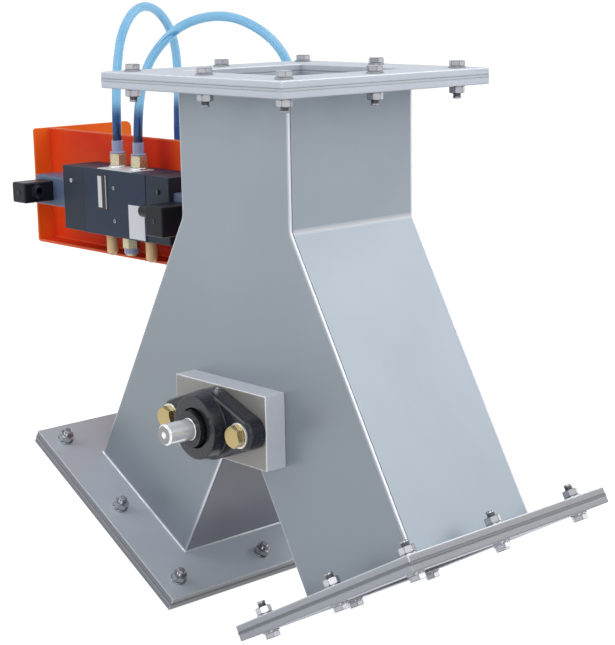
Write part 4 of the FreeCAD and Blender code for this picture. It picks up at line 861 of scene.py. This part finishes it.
class Repeater:
    """Geometry Nodes trees that repeat a fastener or a ripple, each built once."""

    CLEAR_MIDDLE = 0.5                      # share of the half side round the middle that stays empty
    WELD_NOISE = {"Scale": 90.0, "Detail": 1.0}
    WELD_EVEN = 0.5                         # noise that leaves the bead as it is
    WELD_STEPS = 3.0                        # points to a ripple
    WELD_SIDES = 8                          # of a bead's section

    @staticmethod
    def _open(name: str, sizes: dict[str, object]) -> tuple[NodeMaker, bpy.types.NodeOutputs, Node]:
        """Starts a tree with its own sizes and the inputs that every tree has."""
        shared = {"Geometry": "NodeSocketGeometry", "Origin": (0.0, 0.0, 0.0), "Turn": (0.0, 0.0, 0.0),
                  "Finish": "NodeSocketMaterial"}
        return new_group(name, Tree.GEOMETRY, {**shared, **sizes}, ("Geometry",))

    @staticmethod
    def _close(maker: NodeMaker, made: Socket, source: bpy.types.NodeOutputs, sink: Node) -> NodeTree:
        """Moves what a tree made, and ends it in Realize Instances and Set Material.

        Args:
            maker: The tree's node maker.
            made: What the tree made.
            source: The tree's inputs.
            sink: The node that puts out.

        Returns:
            The tree.
        """
        moved = maker.add("GeometryNodeTransform", {"Geometry": made, "Translation": source["Origin"],
                                                    "Rotation": source["Turn"]})
        real = maker.add("GeometryNodeRealizeInstances", {"Geometry": moved.outputs["Geometry"]})
        coated = maker.add("GeometryNodeSetMaterial", {"Geometry": real.outputs["Geometry"],
                                                       "Material": source["Finish"]})
        return maker.put_out(sink, {"Geometry": coated.outputs["Geometry"]})

    @staticmethod
    @cache
    def square_tree() -> NodeTree:
        """Builds the tree that sets fasteners round the sides of a square, with none in its middle.

        Returns:
            The tree.
        """
        maker, source, sink = Repeater._open("square_of_fasteners", {"Half Side": 0.1, "Per Side": 3,
                                                                     "Fastener": "NodeSocketObject"})
        side = maker.math("MULTIPLY", source["Half Side"], 2.0)
        count = source["Per Side"]
        grid = maker.add("GeometryNodeMeshGrid", {"Size X": side, "Size Y": side, "Vertices X": count,
                                                  "Vertices Y": count})
        place = maker.add("GeometryNodeInputPosition").outputs[0]
        reach = maker.add("ShaderNodeVectorMath", {0: place}, operation="LENGTH").outputs["Value"]
        clear = maker.math("MULTIPLY", source["Half Side"], Repeater.CLEAR_MIDDLE)
        middle = maker.add("FunctionNodeCompare", {"A": reach, "B": clear}, operation="LESS_THAN")
        spots = maker.add("GeometryNodeDeleteGeometry", {"Geometry": grid.outputs["Mesh"],
                                                         "Selection": middle.outputs[0]})
        template = maker.add("GeometryNodeObjectInfo", {"Object": source["Fastener"]})
        many = maker.add("GeometryNodeInstanceOnPoints", {"Points": spots.outputs["Geometry"],
                                                          "Instance": template.outputs["Geometry"]})
        return Repeater._close(maker, many.outputs["Instances"], source, sink)

    @staticmethod
    @cache
    def weld_tree() -> NodeTree:
        """Builds the tree that lays a rippled weld bead round a square duct.

        Returns:
            The tree.
        """
        maker, source, sink = Repeater._open("weld_round_duct", {
            "Side": 0.15, "Bead": 0.002, "Pitch": 0.0024, "Ripple": 0.06, "Unevenness": 0.3})
        square = maker.add("GeometryNodeCurvePrimitiveQuadrilateral", {"Width": source["Side"],
                                                                       "Height": source["Side"]})
        step = maker.math("DIVIDE", source["Pitch"], Repeater.WELD_STEPS)
        line = maker.add("GeometryNodeResampleCurve", {"Curve": square.outputs["Curve"], "Length": step},
                         mode="LENGTH")
        along = maker.add("GeometryNodeSplineParameter").outputs["Length"]
        turn = maker.math("MULTIPLY", maker.math("DIVIDE", along, source["Pitch"]), 2 * math.pi)
        ripple = maker.math("MULTIPLY", maker.math("SINE", turn), source["Ripple"])
        noise = maker.noise(maker.add("GeometryNodeInputPosition").outputs[0], Repeater.WELD_NOISE)
        uneven = maker.math("SUBTRACT", noise, Repeater.WELD_EVEN)
        drift = maker.math("MULTIPLY", uneven, source["Unevenness"])
        swell = maker.math("ADD", maker.math("ADD", 1.0, ripple), drift)
        ring = maker.add("GeometryNodeCurvePrimitiveCircle", {"Resolution": Repeater.WELD_SIDES,
                                                              "Radius": source["Bead"]})
        bead = maker.add("GeometryNodeCurveToMesh", {"Curve": line.outputs["Curve"], "Scale": swell,
                                                     "Profile Curve": ring.outputs["Curve"]})
        return Repeater._close(maker, bead.outputs["Mesh"], source, sink)

    @staticmethod
    def run(tree: NodeTree, name: str, values: dict[str, object]) -> bpy.types.Mesh:
        """Runs a tree once.

        Args:
            tree: The tree.
            name: Name of the mesh.
            values: Input name to value.

        Returns:
            The plain mesh.
        """
        carrier = add_object(name + "_carrier", bpy.data.meshes.new(name + "_carrier"))
        modifier = carrier.modifiers.new("repeat", "NODES")
        modifier.node_group = tree
        keys = {item.name: item.identifier for item in tree.interface.items_tree if item.in_out == "INPUT"}
        for label, value in values.items():
            modifier[keys[label]] = value
        mesh = bake(carrier)
        bpy.data.objects.remove(carrier)
        mesh.name = name
        return mesh


# Sub-assemblies


@dataclass(frozen=True)
class Screw:
    """Sizes of a screw, in millimetres."""

    HOLE_PLAY: ClassVar[float] = 0.5
    WASHER_EDGE: ClassVar[float] = 0.15     # share of a washer's thickness
    FACE: ClassVar[float] = 0.4             # height of the washer face under a head
    FACE_SHARE: ClassVar[float] = 0.47      # its radius, as a share of the width over flats

    radius: float
    flats: float
    head: float
    nut: float
    washer: float
    washer_thick: float
    pitch: float

    def add_washer(self, maker: MeshMaker, place: Matrix) -> None:
        """Adds a plain washer with broken edges.

        Args:
            maker: Takes the shape.
            place: What the washer lies on.
        """
        hole, rim, thick = self.radius + self.HOLE_PLAY, self.washer, self.washer_thick
        soft = thick * self.WASHER_EDGE
        section = ((hole, 0.0), (rim - soft, 0.0), (rim, soft), (rim, thick - soft), (rim - soft, thick),
                   (hole, thick))
        maker.lathe(section, place, closed=True)

    def add_head(self, maker: MeshMaker, place: Matrix) -> None:
        """Adds a hexagon head with its washer face.

        Args:
            maker: Takes the shape.
            place: What the head stands on.
        """
        face = self.flats * self.FACE_SHARE
        maker.lathe(((face, 0.0), (face, self.FACE)), place)
        maker.hexagon(self.flats, self.head - self.FACE, lift(self.FACE, place))

    def add_nut(self, maker: MeshMaker, place: Matrix, end: float, washer: bool = True) -> None:
        """Adds a nut with the thread that stands out of it.

        Args:
            maker: Takes the shapes.
            place: What the nut stands on.
            end: Length of thread past the nut.
            washer: Whether there is a washer under the nut.
        """
        seat = self.washer_thick if washer else 0.0
        if washer:
            self.add_washer(maker, place)
        maker.hexagon(self.flats, self.nut, lift(seat, place), self.radius, both=True)
        maker.thread(self.radius, self.pitch, seat + self.nut + end, place)

    def add_shank(self, maker: MeshMaker, place: Matrix, low: float, high: float, sides: int) -> None:
        """Adds the plain bar between two heights over a place."""
        maker.lathe(((self.radius, low), (self.radius, high)), place, sides)


M6 = Screw(radius=3.0, flats=10.0, head=4.0, nut=5.0, washer=6.0, washer_thick=1.6, pitch=1.0)
M8 = Screw(radius=4.0, flats=13.0, head=5.3, nut=6.5, washer=8.0, washer_thick=1.6, pitch=1.25)
M12 = Screw(radius=6.0, flats=18.0, head=7.5, nut=10.4, washer=12.0, washer_thick=2.5, pitch=1.75)


@dataclass
class SubAssembly:
    """Solids that belong together and the pieces added to them. Sizes are in millimetres."""

    solids: tuple[Dress, ...] = ()

    def build(self) -> None:
        """Dresses the solids, then adds the pieces."""
        for solid in self.solids:
            solid.apply()
        self.add_pieces()

    def add_pieces(self) -> None:
        """Adds what the solids don't show, where there is any."""


@dataclass
class DuctBody(SubAssembly):
    """Welded sheet body."""

    solids: tuple[Dress, ...] = (
        Dress("front_plate", FRONT_SHEET, edge=1.5, facets=4),
        Dress("rear_plate", FRONT_SHEET, edge=1.5, facets=4),
        Dress("left_side_plate", SIDE_SHEET, edge=0.15), Dress("right_side_plate", SIDE_SHEET, edge=0.15),
        Dress("left_inner_plate", SHADED_INNER_SHEET, edge=0.15), Dress("right_inner_plate", SHADED_INNER_SHEET, edge=0.15),
        Dress("shaft_saddle", SIDE_SHEET, edge=0.4))


@dataclass
class Flanges(SubAssembly):
    """Flange pairs with gaskets, fasteners and the welds on the duct."""

    half_side: float = 106.0            # from a flange's middle to its rows of bolts
    stack: float = 15.0                 # both plates and the gasket
    thread_end: float = 5.0
    edge: float = 0.7
    duct: float = 154.0
    bead: float = 1.8
    weld_angle: float = 60.0
    # Painted shade on every edge of the lower plate of each flange, in its joints and under it
    edge_shade: Colour = (0.08, 0.085, 0.10)
    edge_shade_width: float = 0.0018          # metres
    # Name, painted shade on the faces to the front and rear, and painted shade on the faces to the ends
    faces: tuple[tuple[str, Optional[Colour], Optional[Colour]], ...] = (
        ("inlet", None, None), ("left", (0.24, 0.255, 0.29), (0.40, 0.41, 0.43)),
        ("right", (0.42, 0.445, 0.49), (0.34, 0.345, 0.37)))

    def build(self) -> None:
        """Lists the plates, then builds as the others do."""
        self.solids = (*self.plates(), Dress("flange_gaskets", GASKET_RUBBER))
        super().build()

    def plates(self) -> list[Dress]:
        """Lists the plates with their finishes: the upper plate of each flange has painted highlights on its
        upper edges and corners and painted shade under its edges, the lower one painted shade on its edges
        and painted highlights on its corners.

        Returns:
            The welded and the loose plate of each flange.
        """
        found = []
        for name, flat, ends in self.faces:
            upper = replace(FLANGE_STEEL, name=name + "_upper_plate", flat=flat, ends=ends)
            lower = replace(upper, name=name + "_lower_plate", edge=self.edge_shade, edge_width=self.edge_shade_width,
                            under=None, highlight_metallic=0.0)
            welded, loose = (lower, upper) if name == "inlet" else (upper, lower)
            found += [Dress(name + "_flange", welded, self.edge),
                      Dress(name + "_counter_flange", loose, self.edge)]
        return found

    def add_pieces(self) -> None:
        """Sets eight fasteners on each flange, and lays a bead where the duct meets it."""
        template = self.template()
        bolts = self.on_each("flange_fasteners", Repeater.square_tree(), 0.0, {
            "Half Side": self.half_side * MM, "Fastener": template, "Finish": ZINC.material()})
        bpy.data.objects.remove(template)
        settle(bolts, ZINC, Body.HOUSING.value, ("flange_bolts", "flange_nuts", "flange_washers"))
        welds = self.on_each("flange_welds", Repeater.weld_tree(), self.stack, {
            "Side": self.duct * MM, "Bead": self.bead * MM, "Finish": WELD_SEAM.material()})
        settle(smooth(welds, self.weld_angle), WELD_SEAM, Body.HOUSING.value)

    def template(self) -> bpy.types.Object:
        """Makes one bolt with its washers and nut, through the flange stack.

        Returns:
            The bolt, on the outer face and pointing inwards.
        """
        maker = MeshMaker()
        seat = M8.washer_thick
        M8.add_washer(maker, UP)
        M8.add_head(maker, lift(seat))
        M8.add_shank(maker, UP, -self.stack - seat, seat, maker.BAR_SIDES)
        M8.add_nut(maker, turned((0, 0, -self.stack), (0, 0, -1)), self.thread_end)
        return smooth(add_object("flange_fastener", maker.to_mesh("flange_fastener")))

    def on_each(self, name: str, tree: NodeTree, depth: float, values: dict[str, object]) -> bpy.types.Object:
        """Runs a tree on every flange, at the places that the mounts give.

        Args:
            name: Name of the piece.
            tree: The tree.
            depth: How far under the flange's outer face it works.
            values: The tree's inputs, apart from origin and turn.

        Returns:
            One object with all that the tree made.
        """
        meshes = []
        for mount in frame["record"]["mounts"]:
            if mount["name"] in ("inlet", "left_outlet", "right_outlet"):
                axis = Vector(mount["axis"])
                turn = (0.0, math.atan2(axis.x, axis.z), 0.0)
                inward = Euler(turn).to_matrix() @ Vector((0, 0, -depth * MM))
                spot = {"Origin": tuple(Vector(mount["pos_m"]) + inward), "Turn": turn}
                meshes.append(Repeater.run(tree, mount["name"] + "_" + name, {**values, **spot}))
        return add_object(name, join_meshes(name, meshes))


@dataclass
class Bearings(SubAssembly):
    """Flange bearings on their blocks."""

    solids: tuple[Dress, ...] = (
        Dress("front_bearing_block", MACHINED, edge=0.8, facets=3),
        Dress("front_bearing_housing", BLACK_CASTING, edge=1.0, facets=3),
        Dress("rear_bearing_block", MACHINED, edge=0.8, facets=3),
        Dress("rear_bearing_housing", BLACK_CASTING, edge=1.0, facets=3),
        Dress("bearing_outer_rings", BLACK_OXIDE), Dress("bearing_inner_rings", BLACK_OXIDE, edge=0.6),
        Dress("bearing_balls", BEARING_STEEL), Dress("shaft_seals", FELT))
    face: float = 100.0                 # block's face, from the middle of the duct
    shaft_z: float = -316.642
    ear: float = 49.5                   # bolt, from the shaft
    ear_depth: float = 18.0
    bolt_turn: float = 12.0             # degrees
    bolt_grip: float = 15.5             # of a bolt behind its ear
    housing_radius: float = 33.0
    nipple_turn: float = 72.0           # degrees
    nipple_depth: float = 11.0
    nipple_flats: float = 6.0
    nipple_foot: Pair = (-0.8, 2.6)     # start and height of its hexagon
    nipple: Profile = ((2.2, 1.8), (2.2, 2.6), (1.4, 3.2), (1.9, 4.0), (1.9, 4.6), (1.0, 5.4))
    set_screw_turns: Pair = (-21.0, 99.0)
    set_screw_seat: Pair = (15.8, 31.6)  # from the shaft, and from the block's face
    set_screw: Profile = ((1.2, 0.6), (1.2, 1.1), (2.3, 1.1), (2.3, 1.6), (1.6, 1.6), (1.6, 0.6))
    set_screw_sides: int = 18

    def places(self) -> list[Matrix]:
        """Returns the block faces at the shaft, Z outwards and X along the ears."""
        return [Matrix.Translation((0, way * self.face, self.shaft_z))
                @ Matrix.Rotation(-way * math.pi / 2, 4, "X") for way in (-1, 1)]

    @staticmethod
    def round_spot(place: Matrix, turn: float, radius: float, depth: float) -> Matrix:
        """Returns a place at a turn, radius and depth round the shaft, with its Z away from the shaft."""
        out = Vector((math.cos(math.radians(turn)), math.sin(math.radians(turn)), 0))
        return place @ turned(out * radius + Vector((0, 0, depth)), out)

    def add_pieces(self) -> None:
        """Adds yellow bolts on silver washers, grease nipples, and set screws in the inner rings."""
        bolts, washers, nipples, set_screws = MeshMaker(), MeshMaker(), MeshMaker(), MeshMaker()
        depth = self.ear_depth + self.bolt_grip
        for place in self.places():
            for x in (-self.ear, self.ear):
                ear = place @ Matrix.Translation((x, 0, self.ear_depth))
                seat = ear @ Matrix.Rotation(math.radians(self.bolt_turn), 4, "Z")
                M12.add_washer(washers, seat)
                M12.add_head(bolts, lift(M12.washer_thick, seat))
                M12.add_shank(bolts, seat, -depth, M12.washer_thick, bolts.BAR_SIDES)
            foot, height = self.nipple_foot
            seat = self.round_spot(place, self.nipple_turn, self.housing_radius, self.nipple_depth)
            nipples.hexagon(self.nipple_flats, height, lift(foot, seat))
            nipples.lathe(self.nipple, seat, nipples.BAR_SIDES)
            for turn in self.set_screw_turns:
                seat = self.round_spot(place, turn, *self.set_screw_seat)
                set_screws.lathe(self.set_screw, seat, self.set_screw_sides, closed=True)
        piece("bearing_bolts_yellow", bolts, YELLOW_ZINC, Body.HOUSING.value, ("bearing_bolts",))
        piece("bearing_washers", washers, SILVER_ZINC, Body.HOUSING.value)
        piece("grease_nipples", nipples, ZINC, Body.HOUSING.value)
        piece("ring_set_screws", set_screws, BLACK_OXIDE, Body.FLAP.value)


@dataclass
class Flap(SubAssembly):
    """Blade, shaft and lever."""

    solids: tuple[Dress, ...] = (
        Dress("flap_shaft", SHAFT_STEEL, edge=0.4), Dress("flap_hub", LEVER_STEEL, edge=0.6),
        Dress("flap_blade", BLADE_STEEL, edge=0.5), Dress("flap_seal", TIP_RUBBER, edge=0.5),
        Dress("flap_screws", ZINC, edge=0.4), Dress("lever", LEVER_STEEL, edge=0.9, facets=3),
        Dress("lever_key", BEARING_STEEL), Dress("lever_end_bolt", ZINC, edge=0.5))


@dataclass
class Console(SubAssembly):
    """Painted console on the neck and the left leg."""

    solids: tuple[Dress, ...] = (
        Dress("console_panel", ORANGE_PAINT, edge=0.9, facets=3),
        Dress("console_floor", ORANGE_PAINT, edge=0.9, facets=3),
        Dress("console_end_wall", ORANGE_END_LIT, edge=0.9, facets=3), Dress("console_fasteners", ZINC, edge=0.4))


@dataclass
class Cylinder(SubAssembly):
    """Air cylinder, its feet and its rod."""

    solids: tuple[Dress, ...] = (
        Dress("cylinder_barrel", ANODISED), Dress("cylinder_rear_cap", CAP_PAINT, edge=1.2, facets=3),
        Dress("cylinder_front_cap", CAP_PAINT, edge=1.2, facets=3), Dress("cylinder_feet", PLATED, edge=0.8),
        Dress("foot_bolts", ZINC, edge=0.5), Dress("piston_rod", BEARING_STEEL, edge=0.4),
        Dress("piston", ANODISED), Dress("rod_fork", PLATED, edge=0.8),
        Dress("fork_pin", BEARING_STEEL, edge=0.5))
    axis_y: float = 144.8
    axis_z: float = -170.0
    rear: float = -383.672
    front: float = -153.591
    foot: float = 5.0
    rod_offset: float = 23.3            # tie rod, from the cylinder's axis
    rod_end: float = 1.5
    rod_sides: int = 24

    def add_pieces(self) -> None:
        """Adds four tie rods with threaded ends, and nuts outside the feet."""
        maker = MeshMaker()
        length = self.front - self.rear + 2 * self.foot
        M8.add_shank(maker, UP, 0.0, length, self.rod_sides)
        for place in (turned((0, 0, 0), (0, 0, -1)), lift(length)):
            M8.add_nut(maker, place, self.rod_end, washer=False)
        template = smooth(add_object("tie_rod", maker.to_mesh("tie_rod")))
        origin = Vector((self.rear - self.foot, self.axis_y, self.axis_z)) * MM
        rods = Repeater.run(Repeater.square_tree(), "tie_rods_threaded", {
            "Half Side": self.rod_offset * MM, "Per Side": 2, "Fastener": template, "Origin": tuple(origin),
            "Turn": (0.0, math.pi / 2, 0.0), "Finish": PLATED.material()})
        bpy.data.objects.remove(template)
        settle(add_object("tie_rods_threaded", rods), PLATED, Body.HOUSING.value, ("tie_rods",))


@dataclass
class Valve(SubAssembly):
    """Solenoid valve with its plugs, fittings and silencers."""

    solids: tuple[Dress, ...] = (
        Dress("valve_body", VALVE_PAINT, edge=0.4), Dress("pilot_caps", PILOT_PAINT, edge=0.4),
        Dress("valve_coils", COIL_PLASTIC, edge=0.6), Dress("coil_connectors", PLUG_PLASTIC, edge=0.6),
        Dress("left_override_button", BUTTON_STEEL, edge=0.3),
        Dress("right_override_button", BUTTON_BLACK, edge=0.3), Dress("supply_fitting", BRASS, edge=0.5),
        Dress("silencers", BRONZE, edge=0.5))
    middle: float = -311.0
    front: float = 12.0
    top: float = -117.5
    bottom: float = -190.0
    ports: tuple[Triple, ...] = ((-330.0, 33.0, -117.5), (-292.0, 33.0, -117.5), (-366.672, 144.8, -137.5),
                                 (-170.591, 144.8, -137.5))
    supply_y: float = 33.0
    # Push-in fittings: radius and height over the port
    seat: Profile = ((9.6, 0.0), (10.0, 0.4), (10.0, 2.6), (9.6, 3.0))
    hexagon: Triple = (17.0, 12.2, 3.0)     # width over flats, height, and start over the port
    neck: Profile = ((8.0, 15.0), (8.0, 15.7), (7.7, 16.0))
    collar: Profile = ((8.0, 16.0), (8.5, 16.5), (8.5, 17.5), (8.0, 18.0), (6.5, 18.0), (6.2, 18.5),
                       (6.2, 29.4), (5.9, 30.0), (5.5, 30.0), (5.3, 29.6), (5.3, 18.1))
    supply_collar: Profile = ((6.4, 14.0), (8.2, 14.0), (8.5, 14.4), (8.5, 19.4), (8.0, 20.0), (6.4, 20.0))
    fitting_sides: int = 40
    # Screws: X and Z of those through the valve, places of those in the plugs, and their heads
    screw_spots: tuple[Pair, ...] = ((-311.0, -136.5), (-311.0, -172.5))
    screw_head: Profile = ((2.2, -0.5), (2.2, 0.5), (1.9, 0.8), (1.1, 0.8), (1.0, 0.1))
    screw_sides: int = 24
    screw_end: float = 2.0
    panel_back: float = 63.0
    plug_spots: tuple[Triple, ...] = ((-450.0, -20.0, -150.0), (-198.5, -20.0, -158.5))
    plug_head: Profile = ((2.4, -0.4), (2.4, 0.5), (2.1, 0.8), (0.9, 0.8), (0.8, 0.2))
    # Bare plates: left, right, bottom and top, or left, right, front and rear for the one under the fittings
    strip: Area = (-342.5, -322.5, -161.5, -123.0)
    strip_band: Area = (-339.5, -332.5, -159.5, -125.0)
    strip_line: Area = (-325.7, -324.7, -160.5, -124.0)
    plate: Area = (-285.0, -256.5, -188.5, -152.0)
    port_plate: Area = (-342.0, -280.0, 13.0, 44.0)
    plate_skin: Pair = (-0.5, 0.3)          # from the valve's front
    inset_skin: Pair = (-0.8, -0.3)
    port_skin: Pair = (-0.4, 0.8)           # from the valve's top
    plate_round: float = 0.3
    inset_round: float = 0.2

    def add_pieces(self) -> None:
        """Adds the fittings, screws and bare plates."""
        self.fittings()
        self.screws()
        self.plates()

    def fittings(self) -> None:
        """Push-in fittings on the valve and the cylinder, with their collars."""
        brass, seats, collars = MeshMaker(), MeshMaker(), MeshMaker()
        flats, height, start = self.hexagon
        for port in self.ports:
            place = turned(port, (0, 0, 1))
            seats.lathe(self.seat, place, self.fitting_sides)
            brass.hexagon(flats, height, lift(start, place), both=True)
            brass.lathe(self.neck, place, self.fitting_sides)
            collars.lathe(self.collar, place, self.fitting_sides)
        down = turned((self.middle, self.supply_y, self.bottom), (0, 0, -1))
        collars.lathe(self.supply_collar, down, self.fitting_sides, closed=True)
        piece("fitting_hexes", brass, BRASS, Body.HOUSING.value, ("port_fittings",))
        piece("fitting_seats", seats, NICKEL, Body.HOUSING.value)
        piece("fitting_collars", collars, COLLAR_BLUE, Body.HOUSING.value, ("release_collars",))

    def screws(self) -> None:
        """Socket screws through the valve with nuts behind the panel, and slotted screws in the plugs."""
        screws, plug_heads = MeshMaker(), MeshMaker()
        for x, z in self.screw_spots:
            screws.lathe(self.screw_head, turned((x, self.front, z), (0, -1, 0)), self.screw_sides)
            M6.add_nut(screws, turned((x, self.panel_back, z), (0, 1, 0)), self.screw_end)
        for spot in self.plug_spots:
            plug_heads.lathe(self.plug_head, turned(spot, (0, -1, 0)), self.screw_sides)
        piece("valve_screws", screws, ZINC, Body.HOUSING.value)
        piece("plug_screws", plug_heads, BUTTON_BLACK, Body.HOUSING.value)

    def front_plate(self, maker: MeshMaker, area: Area, skin: Pair, round_off: float) -> None:
        """Adds one plate on the valve's front."""
        left, right, bottom, top = area
        maker.block((left, self.front + skin[0], bottom), (right, self.front + skin[1], top), round_off)

    def plates(self) -> None:
        """Bare plates on the valve's front and under its upper fittings, with nothing on them."""
        dark, pale = MeshMaker(), MeshMaker()
        self.front_plate(dark, self.strip, self.plate_skin, self.plate_round)
        self.front_plate(pale, self.strip_band, self.inset_skin, self.inset_round)
        self.front_plate(pale, self.strip_line, self.inset_skin, self.inset_round)
        self.front_plate(pale, self.plate, self.plate_skin, self.plate_round)
        left, right, front, rear = self.port_plate
        low, high = (self.top + skin for skin in self.port_skin)
        pale.block((left, front, low), (right, rear, high), self.plate_round)
        piece("strip_frame", dark, DARK_RECESS, Body.HOUSING.value)
        piece("bare_plates", pale, BLANK_PLATE, Body.HOUSING.value)


@dataclass
class AirTube:
    """Air tube on one smooth line, through the route's points in metres."""

    name: str
    length: float
    points: tuple[Triple, ...]
    diameter: float = 0.010
    order: int = 3          # of the smooth line
    steps: int = 12         # between two points
    rounding: int = 8       # of the section

    def build(self) -> None:
        curve = bpy.data.curves.new(self.name + "_line", "CURVE")
        curve.dimensions = "3D"
        spline = curve.splines.new("NURBS")
        spline.points.add(len(self.points) - 1)
        for point, place in zip(spline.points, self.points):
            point.co = (*place, 1.0)
        spline.order_u = self.order
        spline.use_endpoint_u = True
        spline.resolution_u = self.steps
        curve.bevel_depth = self.diameter / 2
        curve.bevel_resolution = self.rounding
        curve.use_fill_caps = True
        made = add_object(self.name + "_hose", curve)
        settle(made, TUBE_BLUE, Body.HOUSING.value, (self.name,))


TUBE_A = AirTube("air_tube_a", 0.389, (
    (-0.3300, 0.0330, -0.0995), (-0.3300, 0.0330, -0.0465), (-0.3315, 0.0405, 0.0115),
    (-0.3363, 0.0555, 0.0384), (-0.3443, 0.0780, 0.0540), (-0.3533, 0.1050, 0.0540),
    (-0.3613, 0.1295, 0.0384), (-0.3666, 0.1455, 0.0115), (-0.3678, 0.1487, -0.0320),
    (-0.36667, 0.1448, -0.0775), (-0.36667, 0.1448, -0.1195)))
TUBE_B = AirTube("air_tube_b", 0.401, (
    (-0.2920, 0.0330, -0.0995), (-0.2920, 0.0330, -0.0635), (-0.2868, 0.0393, -0.0160),
    (-0.2738, 0.0506, 0.0140), (-0.2504, 0.0709, 0.0400), (-0.2181, 0.1003, 0.0470),
    (-0.1900, 0.1259, 0.0300), (-0.1715, 0.1426, 0.0020), (-0.1662, 0.1484, -0.0360),
    (-0.17059, 0.1448, -0.0795), (-0.17059, 0.1448, -0.1195)))


# Studio


@dataclass(frozen=True)
class Lamp:
    """Square soft lamp: its place, what it is aimed at and its side in metres, and its power in watts."""

    name: str
    place: Triple
    target: Triple
    size: float
    watts: float

    def build(self) -> None:
        """Adds the lamp to the scene."""
        data = bpy.data.lights.new(self.name, "AREA")
        data.size = self.size
        data.energy = self.watts
        made = add_object(self.name, data)
        made.location = self.place
        made.rotation_euler = (Vector(self.target) - Vector(self.place)).to_track_quat("-Z", "Y").to_euler()


@dataclass
class Studio:
    """Camera, lights, floor and background. Lengths are in metres."""

    camera_place: Triple = (1.13982, -1.01356, 0.07943)
    camera_turn: Triple = (77.4051, 0.6859, 46.3346)
    lens: float = 91.055
    shift: Pair = (-0.06837, 0.03504)
    ambient: float = 0.32
    lamps: tuple[Lamp, ...] = (
        Lamp("top_softbox", (0.4, 0.0, 2.2), (0.0, 0.0, -0.2), size=1.4, watts=6.0),
        Lamp("leg_softbox", (1.25, 1.35, 1.20), (0.2, 0.0, -0.35), size=2.1, watts=25.0),
        Lamp("edge_light", (1.55, -1.30, 0.75), (0.0, 0.0, -0.25), size=1.1, watts=9.0),
        Lamp("front_fill", (-0.70, -1.05, 0.55), (-0.1, 0.0, -0.10), size=0.9, watts=5.8))
    floor_size: float = 12.0
    floor_gap: float = 0.001
    floor_shade: float = 0.70
    floor_roughness: float = 0.9
    floor_glow: float = 0.85

    def build(self) -> None:
        """Sets the view, the light and the stage."""
        bpy.context.scene.view_settings.view_transform = "Standard"
        self.camera()
        self.world()
        for lamp in self.lamps:
            lamp.build()
        self.floor()

    def camera(self) -> None:
        """Sets the camera at the photograph's angle."""
        data = bpy.data.cameras.new("camera")
        data.lens = self.lens
        data.shift_x, data.shift_y = self.shift
        made = add_object("camera", data)
        made.location = self.camera_place
        made.rotation_euler = Euler([math.radians(turn) for turn in self.camera_turn], "XYZ")
        bpy.context.scene.camera = made

    @staticmethod
    def seen(maker: NodeMaker) -> Socket:
        """Tells the rays that show the background, straight, mirrored or through the hoses.

        Args:
            maker: The node maker of a material or the world.

        Returns:
            One for such a ray, nought for light.
        """
        path = maker.add("ShaderNodeLightPath").outputs
        rays = [path[name] for name in ("Is Camera Ray", "Is Glossy Ray", "Is Transmission Ray")]
        return reduce(partial(maker.math, "MAXIMUM"), rays)

    def world(self) -> None:
        """Sets white for the eye and for reflections, and plain ambient light elsewhere."""
        world = bpy.data.worlds.new("studio")
        world.use_nodes = True
        bpy.context.scene.world = world
        maker = NodeMaker(world.node_tree)
        back = next(node for node in world.node_tree.nodes if node.type == "BACKGROUND")
        strength = maker.remap(self.seen(maker), target=(self.ambient, 1.0))
        maker.feed(back, {"Color": WHITE, "Strength": strength})

    def floor(self) -> None:
        """Lays a pale floor under the damper that keeps a soft shadow."""
        bm = bmesh.new()
        bmesh.ops.create_grid(bm, x_segments=1, y_segments=1, size=self.floor_size)
        bmesh.ops.translate(bm, verts=bm.verts, vec=(0, 0, CAD_BOX[0][2] - self.floor_gap))
        made = add_object("floor", mesh_from(bm, "floor"))
        material, maker, shader = new_material("floor_white")
        shade = (self.floor_shade, self.floor_shade, self.floor_shade, 1.0)
        glow = maker.math("MULTIPLY", self.seen(maker), self.floor_glow)
        maker.feed(shader, {"Base Color": shade, "Roughness": self.floor_roughness, "Specular IOR Level": 0.0,
                            "Emission Color": WHITE, "Emission Strength": glow})
        made.data.materials.append(material)


def main() -> None:
    """Builds the studio and the damper's pieces in order, and reports each piece."""
    logging.basicConfig(level=logging.INFO, format="%(name)s: %(message)s")
    Studio().build()
    for part in (TUBE_A, TUBE_B, DuctBody(), Flanges(), Bearings(), Flap(), Console(), Cylinder(), Valve()):
        part.build()


if __name__ == "__main__":
    main()
